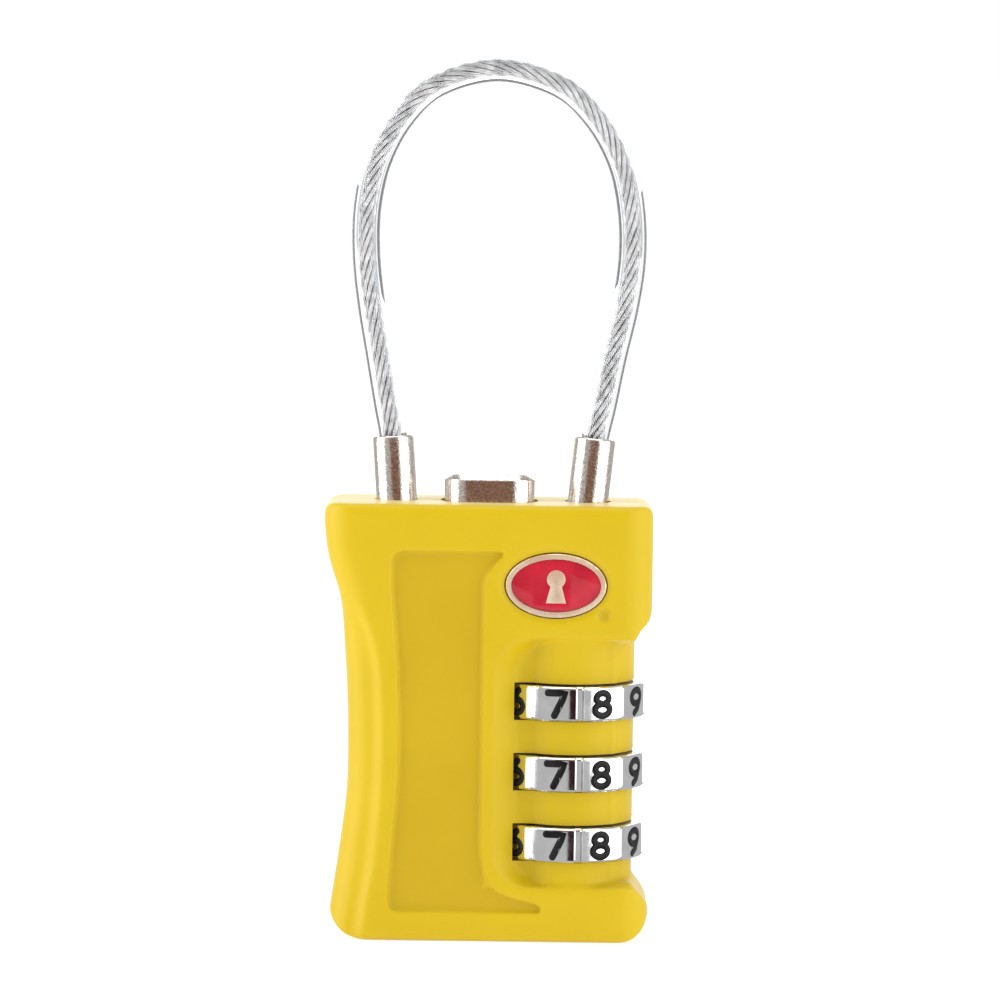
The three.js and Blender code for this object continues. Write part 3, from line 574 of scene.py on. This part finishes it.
# the rope is strands wound round the route, each of wires wound round the strand the other way
def buildCable():
    route, length = evenly(cableRoute(), cable["step"])
    across = Vector((0, 1, 0))
    last = len(route) - 1
    tangents = [(route[min(i + 1, last)] - route[max(i - 1, 0)]).normalized() for i in range(last + 1)]
    step = length / last

    def angleAt(share, distance, pitch):
        return 2 * math.pi * (share + distance / pitch)

    def wire(strand, place):
        line = []
        for i, (point, forward) in enumerate(zip(route, tangents)):
            angle = angleAt(strand / cable["strands"], i * step, cable["strandPitch"])
            outward = math.cos(angle) * across.cross(forward) + math.sin(angle) * across
            angle = angleAt(place / cable["wires"], i * step, -cable["wirePitch"])
            offset = math.cos(angle) * outward + math.sin(angle) * forward.cross(outward)
            line.append(point + strandCentre * outward + wireCentre * offset)
        return line

    strandCentre = cable["rope"] - cable["strandRadius"]
    wireCentre = cable["strandRadius"] - cable["wireRadius"]
    wires = [wire(strand, place) for strand in range(cable["strands"]) for place in range(cable["wires"])]
    rope = tubeObject("wire_rope", [*wires, route], cable["wireRadius"], 1, caps=True)
    sheath = tubeObject("clear_sheath", [route[::2] + [route[-1]]], cable["sheath"], 5, caps=False)
    for name in ("clearSheath", "sheathBore"):
        sheath.data.materials.append(materials[name])
    wall = sheath.modifiers.new("wall", "SOLIDIFY")
    wall.thickness = cable["sheath"] - cable["bore"]
    wall.offset = -1
    wall.material_offset = 1
    applied(sheath)
    return rope, sheath, route, length


rope, sheath, route, cableLength = buildCable()
for piece, name, material, node, slot in (
        (rope, "wire_rope", "ropeWire", "cable_core", "wire_rope"),
        (sheath, "clear_sheath", "clearSheath", "cable_sheath", "clear_sheath")):
    piece.data.transform(Matrix.Scale(mm, 4))
    walls = [polygon.material_index for polygon in piece.data.polygons]
    piece.data.materials.clear()
    piece.data.materials.append(materials[material])
    if name == "clear_sheath":
        piece.data.materials.append(materials["sheathBore"])
        piece.data.polygons.foreach_set("material_index", walls)
    piece.data.shade_smooth()
    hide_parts(node)
    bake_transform(piece)
print("cable ready", round(cableLength, 1), "mm")


# the case
caseForm = {
    "frontRound": 0.8, "sideRound": 3.3, "gripOuter": 2.05, "gripOuterFall": 3.2, "gripInnerFall": 1.15,
    "gripDip": 0.22, "topCorner": 1.1, "footCorner": 2.9,
    "barrel": 6.28, "scoopLeft": 3.0, "scoopFlare": 2.3, "scoopRearFlare": 0.4, "scoopFloor": 5.0,
    "scoopTopCorner": 3.2, "scoopFootCorner": 2.6, "scoopBelow": 4.0, "scoopAbove": 5.95,
    "voxel": 0.24, "soften": 14, "fineVoxel": 0.17, "fineSoften": 3,
}
# how far the left side is drawn in, and where the grip's ridge runs, by height
leftInset = [(0, 0.4), (3.9, 1.0), (8.7, 1.7), (14.5, 2.4), (19.7, 2.5), (25, 2.35), (29.5, 2.05), (34, 1.65),
             (38, 0.45), (41.4, 0), (44, 0)]
ridgeLine = [(0, 12.1), (3.7, 11.7), (7.8, 10.95), (15.1, 10.4), (20.1, 10.3), (26.1, 10.5), (29.5, 11.1),
             (31.8, 12.2), (33.6, 13.6), (44, 13.6)]


curvedTables = {}


# a value from a table of heights, eased between its rows
def valueAt(table, height):
    line = curvedTables.setdefault(id(table), curved([(a, b, 0) for a, b in table], 10))
    for a, b in zip(line, line[1:]):
        if a.x <= height <= b.x:
            return a.y + (b.y - a.y) * (height - a.x) / max(1e-6, b.x - a.x)
    return line[-1].y if height > line[-1].x else line[0].y


# the front half of the plan outline at a height, from the right side round to the left
def caseSection(height):
    half, depth, r = lock["half"], -lock["front"], caseForm["sideRound"]
    left = -half + valueAt(leftInset, height)
    ridge = -valueAt(ridgeLine, height)
    grip = 1 - smoothStep(30.5, 34.5, height)
    points = arc(half - r, -depth + r, r, r, 0, -90, 10)
    corner = arc(left + r, -depth + r, r, r, -90, -180, 16)
    knee = (left + caseForm["gripOuter"], -depth + caseForm["gripInnerFall"])
    edge = (left, -depth + caseForm["gripInnerFall"] + caseForm["gripOuterFall"])
    points.append((ridge + 3.5, -depth))
    for i, (x, y) in enumerate(corner):
        t = i / 16
        if t < 0.5:
            share = t / 0.5
            gx = ridge + (knee[0] - ridge) * share
            gy = -depth + (knee[1] + depth) * share + caseForm["gripDip"] * math.sin(math.pi * share)
        else:
            share = (t - 0.5) / 0.5
            gx = knee[0] + (edge[0] - knee[0]) * math.sin(share * math.pi / 2)
            rise = 1 - math.cos(share * math.pi / 2) * 0.55 - 0.45 * (1 - share)
            gy = knee[1] + (edge[1] - knee[1]) * rise
        points.append((x + (gx - x) * grip, y + (gy - y) * grip))
    return points


# the case seen from the front, with the right side narrowed to the dial barrel
def frontOutline():
    half, top = lock["half"], lock["top"]
    foot, corner = caseForm["footCorner"], caseForm["topCorner"]
    barrelRight = dialAxisX + caseForm["barrel"] + 0.03
    points = arc(half - foot, foot, foot, foot, -90, 0, 8)
    points += [tuple(p)[:2] for p in curved([(half, 3), (half - 0.15, 3.8), (half - 0.75, 4.7),
                                             (barrelRight + 0.15, 5.5), (barrelRight, 6.3)], 4)][1:]
    points += [tuple(p)[:2] for p in curved([(barrelRight, 29.2), (barrelRight + 0.05, 30.4),
                                             (half - 1.1, 31.25), (half - 0.3, 32), (half, 33)], 4)]
    points += arc(half - corner, top - corner, corner, corner, 0, 90, 6)
    points += arc(-half + corner, top - corner, corner, corner, 90, 180, 6)
    for i in range(24):
        z = 41 - (41 - 4) * i / 23
        points.append((-half + valueAt(leftInset, z) - 0.02, z))
    left = -half + valueAt(leftInset, 0)
    foot = ((0.25, 2.9), (0.62, 1.9), (1.3, 1.0), (2.2, 0.35), (3.3, 0.05), (4.1, 0))
    return points + [(left + x, z) for x, z in foot]


# a solid through closed rings of points, bridged and capped
def bridged(rings):
    bm = bmesh.new()
    loops = []
    for points in rings:
        ring = [bm.verts.new(point) for point in points]
        loops.append([bm.edges.new((ring[i], ring[(i + 1) % len(ring)])) for i in range(len(ring))])
    for one, two in zip(loops, loops[1:]):
        bmesh.ops.bridge_loops(bm, edges=one + two)
    for loop in (loops[0], loops[-1]):
        bmesh.ops.contextual_create(bm, geom=loop)
    bmesh.ops.recalc_face_normals(bm, faces=bm.faces)
    return bm


# the case through its plan section at many heights, a little past both ends
def lofted():
    heights = [lock["top"] * i / 40 for i in range(41)]
    heights[0], heights[-1] = -0.5, lock["top"] + 0.5
    rings = []
    for z in heights:
        front = caseSection(z)
        rings.append([(x, y, z) for x, y in front] + [(x, -y, z) for x, y in reversed(front)])
    return objectFrom("case", bridged(rings))


# what is cut away in front of and behind the dial barrel; its sides flare towards the surface
def scoopTools():
    low, high = dialHeights[-1] - caseForm["scoopBelow"], dialHeights[0] + caseForm["scoopAbove"]
    floor, surface = caseForm["scoopFloor"], -lock["front"]

    def outline(depth, side):
        flare = (depth - floor) / (surface - floor)
        share = 1 if side < 0 else caseForm["scoopRearFlare"]
        left = caseForm["scoopLeft"] - caseForm["scoopFlare"] * flare * share
        bottom, top = low - 0.35 * flare, high + 0.5 * flare
        topR, footR = (caseForm[k] + 0.9 * flare for k in ("scoopTopCorner", "scoopFootCorner"))
        return ([(20, bottom), (20, top)] + arc(left + topR, top - topR, topR, topR, 90, 180, 8)
                + arc(left + footR, bottom + footR, footR, footR, 180, 270, 8))

    def withoutBarrel(tool):
        return combine(tool, objectFrom("barrel", rod(dialAxisX, 0, 0, 40, caseForm["barrel"], 128)))

    for side in (-1, 1):
        rings = [[(x, side * depth, z) for x, z in outline(depth, side)]
                 for depth in (floor, surface, 2 * surface - floor)]
        yield withoutBarrel(objectFrom("scoop", bridged(rings)))
    beside = [(dialAxisX, -10), (22, -10), (22, 10), (dialAxisX, 10)]
    yield withoutBarrel(objectFrom("scoopSide", prism(beside, "Z", low, high)))


# the sunk panel beside the dials, with its toe at the foot
def recessOutline():
    left = [(-9.55, 37.2), (-9.5, 34.5), (-9.0, 28.5), (-8.75, 22), (-8.85, 15.5), (-9.4, 8.4), (-9.62, 4.9)]
    points = [(1.75, 39)]
    points += arc(-8.35, 37.8, 1.2, 1.2, 90, 180, 5)
    points += [tuple(p)[:2] for p in curved(left, 5)][1:]
    points += arc(-8.62, 4, 1.0, 1.0, 180, 270, 5)
    points += [(5.6, 3), (5.6, 3.6)]
    points += [tuple(p)[:2] for p in curved([(4.9, 4), (2.7, 4.5), (1.2, 5.2), (0.1, 6.6), (-0.4, 8.8)], 5)]
    points += [(-0.4, 35.8), (-0.15, 36.8)]
    return points


# the badge's place and size come from its node
rimLow, rimHigh = nodeBox("badge_rim")
badge = {
    "x": (rimLow.x + rimHigh.x) / 2, "z": (rimLow.z + rimHigh.z) / 2,
    "width": rimHigh.x - rimLow.x, "height": rimHigh.z - rimLow.z,
    "lip": 0.55, "lipDepth": 0.22, "rim": 0.55, "recess": 0.5, "dimple": 0.75, "dimpleX": 11.5, "dimpleZ": 32.9,
}


def detailTools():
    front = lock["front"]
    yield objectFrom("recess", prism(recessOutline(), "Y", front - 1, front + badge["recess"]))
    oval = arc(0, 0, badge["width"] / 2 + badge["lip"], badge["height"] / 2 + badge["lip"], 0, 360, 63)[:-1]
    oval = [(badge["x"] + x, badge["z"] + z) for x, z in oval]
    yield objectFrom("badgeLip", prism(oval, "Y", front - 1, front + badge["lipDepth"]))
    bm = bmesh.new()
    bmesh.ops.create_uvsphere(bm, u_segments=24, v_segments=16, radius=badge["dimple"] * 1.25)
    place = (badge["dimpleX"], front - badge["dimple"] * 0.55, badge["dimpleZ"])
    bmesh.ops.translate(bm, vec=place, verts=bm.verts)
    yield objectFrom("dimple", bm)


buttonForm = {"halfX": 4.5, "halfY": 3.0, "corner": 2.6, "chamfer": 0.55, "soften": 0.09, "below": 3.6,
              "holeGap": 0.35, "holeCorner": 2.9, "holeDeep": 3}
ferruleForm = {"radius": 2.03, "proud": cable["proud"], "foot": -8.8, "groove": -6.2, "grooveCut": 0.75,
               "holeLow": -9.2}
leftFerrule = {"x": cable["leftX"], "lean": -cable["leftLean"]}
rightFerrule = {"x": cable["rightX"], "lean": cable["rightLean"]}
# bores and rooms inside the case; each is its radius, or its size, and how far it goes past the dials
rooms = {
    "dialHalf": 1.88, "dialGap": 0.3, "sleeveBore": 4.2, "sleeveBelow": 5.9, "sleeveAbove": 3.5,
    "spindleBore": 1.8, "spindleLow": 1.8, "spindleDown": 12, "finHalf": 2.2, "finLeft": -0.92, "finRight": 1.3,
    "finPast": 3, "wall": 1.8, "corner": 2, "keyBore": 5.0, "keyHigh": 21,
}
# a screw's head and shank rooms, and how deep the head sits
screwRoom = {"head": 1.6, "shank": 0.85, "headDeep": 1.2, "past": 0.2, "segments": 32}


# holes and rooms that keep sharp edges
def crispTools():
    front, top = lock["front"], lock["top"]
    for z in dialHeights:
        half = rooms["dialHalf"]
        yield rod(dialAxisX, 0, z - half, z + half, dialRadius + rooms["dialGap"], 160)
    low, high = dialHeights[-1], dialHeights[0]
    yield rod(dialAxisX, 0, low - rooms["sleeveBelow"], high + rooms["sleeveAbove"], rooms["sleeveBore"])
    yield rod(dialAxisX, 0, rooms["spindleLow"], top - rooms["spindleDown"], rooms["spindleBore"])
    yield block((rooms["finLeft"], -rooms["finHalf"], low - rooms["finPast"]),
                (rooms["finRight"], rooms["finHalf"], high + rooms["finPast"]))
    # the release plate's room, the catch's room and the override slide's room
    for left, right, low, high in ((-6, 6, top - 7.8, top - 2.1), (-11, 12.35, top - 13.4, top - 10.4),
                                   (-11, -2, 20, top - 12)):
        plan = roundedBox((right - left) / 2, -front - rooms["wall"], rooms["corner"])
        yield prism([(x + (left + right) / 2, y) for x, y in plan], "Z", low, high)
    yield rod(keyAxisX, 0, -1, rooms["keyHigh"], rooms["keyBore"])
    gap = buttonForm["holeGap"]
    hole = roundedBox(buttonForm["halfX"] + gap, buttonForm["halfY"] + gap, buttonForm["holeCorner"], 10)
    yield prism(hole, "Z", top - buttonForm["holeDeep"], top + 1)
    # ways for the button's stem, its catch finger and the catch itself
    yield block((-1.3, -1.9, top - 11), (1.3, 1.9, top - 7.2))
    yield block((3.7, 1.9, top - 11), (6, 3.5, top - 7.2))
    yield block((5, -1.8, top - 7.4), (rightFerrule["x"] - 0.5, 1.8, top - 5))
    for ferrule, gap in ((leftFerrule, 0.12), (rightFerrule, 0.28)):
        bm = rod(0, 0, ferruleForm["holeLow"], 2, ferruleForm["radius"] + gap)
        placeOnAxis(bm, ferrule)
        yield bm
    oval = arc(0, 0, badge["width"] / 2 + 0.12, badge["height"] / 2 + 0.12, 0, 360, 95)[:-1]
    yield prism([(badge["x"] + x, badge["z"] + z) for x, z in oval], "Y", front - 1, front + 0.8)
    for n in range(1, 5):
        low, high = nodeBox(f"housing_screw_{n}")
        x, z = (low.x + high.x) / 2, (low.z + high.z) / 2
        head = (screwRoom["head"], high.y - screwRoom["headDeep"], 12)
        shank = (screwRoom["shank"], low.y - screwRoom["past"], high.y)
        for radius, near, far in (head, shank):
            bm = rod(0, 0, near, far, radius, screwRoom["segments"])
            turn = Matrix.Rotation(math.radians(-90), 3, "X")
            bmesh.ops.rotate(bm, cent=(0, 0, 0), matrix=turn, verts=bm.verts)
            bmesh.ops.translate(bm, vec=(x, 0, z), verts=bm.verts)
            yield bm


def placeOnAxis(bm, ferrule):
    lean = Matrix.Rotation(math.radians(ferrule["lean"]), 3, "Y")
    bmesh.ops.rotate(bm, cent=(0, 0, 0), matrix=lean, verts=bm.verts)
    bmesh.ops.translate(bm, vec=(ferrule["x"], 0, lock["top"]), verts=bm.verts)


def buildCase():
    body = lofted()
    front, back = lock["front"], lock["depth"]
    shell = objectFrom("front", prism(frontOutline(), "Y", front, back, caseForm["frontRound"], 3))
    combine(body, shell, "INTERSECT")
    for tool in scoopTools():
        combine(body, tool)
    softened(body, caseForm["voxel"], caseForm["soften"])
    for tool in detailTools():
        combine(body, tool)
    softened(body, caseForm["fineVoxel"], caseForm["fineSoften"])
    for bm in crispTools():
        combine(body, objectFrom("tool", bm))
    halves = []
    gap = lock["seam"] / 2
    for name, low, high in (("front_case", -50, -gap), ("rear_case", gap, 50)):
        half = copied(body)
        combine(half, objectFrom("side", block((-60, low, -60), (60, high, 110))), "INTERSECT")
        halves.append(half)
    bpy.data.objects.remove(body)
    return halves


# where the sunk panel's floor is; its right edge is given up to each of three heights
panel = {"left": -9.8, "low": 2.7, "high": 39.3, "front": -5.5, "right": ((5.4, 5.7), (34.5, -0.2), (99, 1.9)),
         "depths": (0.18, 0.42)}


# marks the floor of the sunk panel, which the material paints a little darker as painted shade
def markSunkShade(half):
    mask = half.data.attributes.new("sunkShade", "FLOAT", "POINT")
    values = []
    for vertex in half.data.vertices:
        x, y, z = vertex.co
        right = next(edge for limit, edge in panel["right"] if z < limit)
        inside = panel["left"] < x < right and panel["low"] < z < panel["high"] and y < panel["front"]
        values.append(smoothStep(*panel["depths"], y - lock["front"]) if inside else 0)
    mask.data.foreach_set("value", values)


frontCase, rearCase = buildCase()
markSunkShade(frontCase)
finished(frontCase, "front_case", materials["yellowCase"], "case", ["front_housing"], "yellow_case", 40)
finished(rearCase, "rear_case", materials["yellowCase"], "case", ["rear_housing"], "yellow_case", 40)
print("case ready", len(frontCase.data.polygons), len(rearCase.data.polygons))


# ferrules
def buildFerrule(ferrule):
    r, top = ferruleForm["radius"], ferruleForm["proud"]
    foot, groove, cut = ferruleForm["foot"], ferruleForm["groove"], ferruleForm["grooveCut"]
    bore = cable["sheath"] + 0.03
    profile = [(0, foot), (r - 0.7, foot), (r - 0.1, foot + 0.8), (r, foot + 1.0),
               (r, groove - 0.62), (r - 0.06, groove - 0.56), (r - cut, groove - 0.56),
               (r - cut, groove + 0.56), (r - 0.06, groove + 0.56), (r, groove + 0.62),
               (r, top - 0.22), (r - 0.05, top - 0.08), (r - 0.16, top), (bore + 0.12, top),
               (bore + 0.03, top - 0.03), (bore, top - 0.12), (bore, 0.3), (0, 0.3)]
    bm = turned(profile, 72)
    placeOnAxis(bm, ferrule)
    return objectFrom("ferrule", bm)


for ferrule, name, body, node in ((leftFerrule, "left_ferrule", "case", "ferrule_fixed"),
                                  (rightFerrule, "right_ferrule", "free_end", "ferrule_free")):
    finished(buildFerrule(ferrule), name, materials["nickel"], body, [node], "nickel")


# push button
def buildButton():
    top, base = buttonTop, lock["top"]
    plan = roundedBox(buttonForm["halfX"], buttonForm["halfY"], buttonForm["corner"], 12)
    cap = prism(plan, "Z", base - buttonForm["below"], top)
    rim = {e for f in cap.faces if f.normal.z > 0.9 for e in f.edges}
    bmesh.ops.bevel(cap, geom=list(rim), offset=buttonForm["chamfer"], affect="EDGES", segments=1,
                    profile=0.5, material=-1)
    rims = {e for f in cap.faces if f.normal.z > 0.5 for e in f.edges}
    bmesh.ops.bevel(cap, geom=[e for e in rims if e.calc_face_angle(0) > 0.3], offset=buttonForm["soften"],
                    affect="EDGES", segments=2, profile=0.5, material=-1)
    button = objectFrom("button", cap)
    # the flange, the stem, and the finger that pushes the catch with its bridge
    flange = prism(roundedBox(5.4, 3.8, 2.8, 10), "Z", base - buttonForm["below"], base - 2.4, 0.12, 2)
    for tool in (flange,
                 block((-1, -1.6, base - 10.9), (1, 1.6, base - 3)),
                 block((5.5, -1, base - 5.1), (5.8, 1, base - 2.8)),
                 block((4.6, -1, base - 3.5), (5.7, 1, base - 2.8))):
        combine(button, objectFrom("tool", tool), "UNION")
    return button


finished(buildButton(), "button", materials["nickel"], "button", ["push_button"], "nickel", 30)
print("ferrules and button ready")


# badge: an oval of enamel with a plain keyhole
def buildBadge():
    x, z, front = badge["x"], badge["z"], lock["front"]
    halfX, halfZ, rim = badge["width"] / 2 - 0.02, badge["height"] / 2 - 0.02, badge["rim"]

    def oval(shrink):
        return [(x + a, z + b) for a, b in arc(0, 0, halfX - shrink, halfZ - shrink, 0, 360, 96)[:-1]]

    ring = objectFrom("ring", prism(oval(0), "Y", front + 0.02, front + 0.7, 0.14, 3))
    combine(ring, objectFrom("tool", prism(oval(rim), "Y", front - 1, front + 2)))
    plate = objectFrom("plate", prism(oval(rim + 0.01), "Y", front + 0.16, front + 0.68, 0.06, 2))
    hole = keyholeOutline(x, z)
    keyhole = objectFrom("keyhole", prism(hole, "Y", front + 0.1, front + 0.4, 0.05, 2))
    combine(plate, objectFrom("tool", prism(hole, "Y", front - 1, front + 0.42)))
    return ring, plate, keyhole


# a round eye over a flared slot
def keyholeOutline(x, z):
    eye = arc(x, z + 0.62, 0.92, 0.92, -52, 232, 28)
    return eye + [(x - 1.0, z - 1.75), (x + 1.0, z - 1.75)]


ring, plate, keyhole = buildBadge()
finished(ring, "badge_ring", materials["badgePlate"], "case", ["badge_rim"], "nickel", 30)
finished(plate, "badge_enamel", materials["enamel"], "case", ["badge_inlay"], "enamel", 30)
finished(keyhole, "badge_keyhole", materials["badgePlate"], "case", (), "nickel", 30)
print("badge ready")


# dials
dialForm = {
    "height": 3.45, "bevel": 0.28, "flute": 0.82, "fluteDepth": 0.32, "bore": 4.2, "shown": 24, "count": 10,
    "digitHeight": 2.25, "digitWidth": 1.85, "stroke": 0.37, "sink": 0.13, "paint": 0.345, "paintSink": 0.33,
    "paintThick": 0.4, "rimShare": 0.993, "crown": 0.008, "atMiddle": 8,
}


# each figure as open or closed lines in a box one wide and one high, middle at 0
def digitStrokes():
    def loop(cx, cz, rx, rz):
        return arc(cx, cz, rx, rz, 0, 360, 20)

    def line(*points):
        out = []
        for (ax, az), (bx, bz) in zip(points, points[1:]):
            out += [(ax + (bx - ax) * k / 4, az + (bz - az) * k / 4) for k in range(4)]
        return out + [points[-1]]

    return {
        0: [loop(0, 0, 0.42, 0.5)],
        1: [line((-0.28, 0.28), (0.1, 0.5), (0.1, -0.5))],
        2: [arc(0, 0.2, 0.46, 0.3, 165, -35, 12) + line((0.3, -0.02), (-0.46, -0.5), (0.48, -0.5))],
        3: [arc(-0.02, 0.25, 0.44, 0.25, 150, -90, 12), arc(-0.02, -0.25, 0.48, 0.25, 90, -150, 12)],
        4: [line((0.22, -0.5), (0.22, 0.5), (-0.5, -0.2), (0.5, -0.2))],
        5: [line((0.42, 0.5), (-0.36, 0.5), (-0.42, 0.05))
            + arc(-0.02, -0.17, 0.47, 0.33, 140, -145, 16)],
        6: [loop(0, -0.2, 0.47, 0.3), line((-0.42, -0.08), (-0.2, 0.3), (0.18, 0.5))],
        7: [line((-0.48, 0.5), (0.48, 0.5), (-0.12, -0.5))],
        8: [loop(0, 0.26, 0.36, 0.24), loop(0, -0.24, 0.43, 0.26)],
        9: [loop(0, 0.2, 0.47, 0.3), line((0.42, 0.08), (0.2, -0.3), (-0.18, -0.5))],
    }


# the strokes as round bars lying on a dial's rim at the front, their middles sunk by depth
def strokeSolid(strokes, radius, depth):
    wide, tall = dialForm["digitWidth"], dialForm["digitHeight"]
    solid = None
    for stroke in strokes:
        places = [Vector((x * wide, depth, z * tall)) for x, z in stroke]
        closed = (places[0] - places[-1]).length < 1e-4
        bar = strokeBar(places, closed, radius)
        solid = bar if solid is None else combine(solid, bar, "UNION")
    return solid


def strokeBar(places, closed, radius):
    if closed:
        places = places[:-1]
    mesh = tubeMesh("stroke", [places], radius, 3, closed=closed)
    bm = bmesh.new()
    bm.from_mesh(mesh)
    bpy.data.meshes.remove(mesh)
    bmesh.ops.remove_doubles(bm, verts=bm.verts, dist=1e-4)
    bmesh.ops.recalc_face_normals(bm, faces=bm.faces)
    bar = objectFrom("bar", bm)
    if not closed:
        for end in (places[0], places[-1]):
            ball = bmesh.new()
            bmesh.ops.create_uvsphere(ball, u_segments=14, v_segments=10, radius=radius * 1.002)
            bmesh.ops.translate(ball, vec=end, verts=ball.verts)
            combine(bar, objectFrom("ball", ball), "UNION")
    return bar


# from the front of the rim round towards +X
def turnedTo(piece, degrees, radius):
    place = Matrix.Rotation(math.radians(degrees), 4, "Z") @ Matrix.Translation((0, -radius, 0))
    piece.data.transform(place)
    return piece


def dialOutline():
    step = 360 / dialForm["count"]
    half = math.degrees(dialForm["flute"] / 2 / dialRadius)
    points = []
    for i in range(dialForm["count"]):
        middle = dialForm["shown"] + i * step
        for k in range(9):
            angle = middle + (k / 8 - 0.5) * (step - 2 * half)
            flat = dialRadius * (1 - dialForm["crown"] * (1 - (k / 4 - 1) ** 2))
            points.append((angle, flat))
        for k in (0.2, 0.5, 0.8):
            angle = middle + step / 2 + (k - 0.5) * 2 * half
            points.append((angle, dialRadius - dialForm["fluteDepth"]))
    return [(r * math.sin(math.radians(a)), -r * math.cos(math.radians(a))) for a, r in points]


def buildDial():
    half = dialForm["height"] / 2
    wheel = objectFrom("wheel", prism(dialOutline(), "Z", -half, half, dialForm["bevel"], 3))
    combine(wheel, objectFrom("bore", rod(0, 0, -5, 5, dialForm["bore"], 72)))
    combine(wheel, objectFrom("notch", block((3.7, -0.8, -5), (4.8, 0.8, 5))))
    paint = None
    strokes = digitStrokes()
    for i in range(dialForm["count"]):
        figure = strokes[(dialForm["atMiddle"] + i) % dialForm["count"]]
        angle = dialForm["shown"] + 360 / dialForm["count"] * i
        rim = dialRadius * dialForm["rimShare"]
        combine(wheel, turnedTo(strokeSolid(figure, dialForm["stroke"], dialForm["sink"]), angle, rim))
        inlay = strokeSolid(figure, dialForm["paint"], dialForm["paintSink"])
        inlay.data.transform(Matrix.Scale(dialForm["paintThick"], 4, (0, 1, 0)))
        turnedTo(inlay, angle, rim)
        paint = inlay if paint is None else joined(paint, inlay)
    return wheel, paint


def joined(one, two):
    bm = bmesh.new()
    bm.from_mesh(one.data)
    bm.from_mesh(two.data)
    bpy.data.objects.remove(one)
    bpy.data.objects.remove(two)
    return objectFrom("joined", bm)


wheel, paint = buildDial()
for n, z in enumerate(dialHeights, 1):
    for source, name, material, slot, replaced, sharp in (
            (wheel, "dial", "dialChrome", "dial_chrome", [f"dial_wheel_{n}"], 12),
            (paint, "digits", "digitPaint", "digit_paint", (), 40)):
        piece = copied(source)
        piece.data.transform(Matrix.Translation((dialAxisX, 0, z)))
        finished(piece, f"{name}_{n}", materials[material], f"dial_{n}", replaced, slot, sharp)
for source in (wheel, paint):
    bpy.data.objects.remove(source)
print("dials ready")


# the button's return spring, a copy of its node
def buildSpring():
    node = frame["nodes"]["button_spring"]
    piece = bpy.data.objects.new("return_spring", node.data.copy())
    scene.collection.objects.link(piece)
    bm = bmesh.new()
    bm.from_mesh(piece.data)
    bmesh.ops.remove_doubles(bm, verts=bm.verts, dist=1e-7)
    bm.to_mesh(piece.data)
    bm.free()
    piece.data.materials.clear()
    piece.data.materials.append(materials["springSteel"])
    piece.data.shade_smooth()
    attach(piece, "case")
    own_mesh(piece)
    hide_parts("button_spring")


buildSpring()


# the CAD nodes that stay get their finishes
nodeFinish = {
    "steel": ["release_plate", "spindle", "catch_rivet", "key_cam", "override_slide",
              *[f"housing_screw_{n}" for n in range(1, 5)]],
    "springSteel": ["catch_leaf", "dial_detent_spring", "ferrule_retainer", "spindle_clip"],
    "brass": ["key_barrel", "key_plug", "spindle_bush", *[f"key_wafer_{n}" for n in range(1, 5)],
              *[f"dial_sleeve_{n}" for n in (1, 2, 3)]],
}
for name, nodes in nodeFinish.items():
    for node in nodes:
        mesh = frame["nodes"][node].data
        mesh.materials.clear()
        mesh.materials.append(materials[name])

[tuple(p * mm) for p in route]
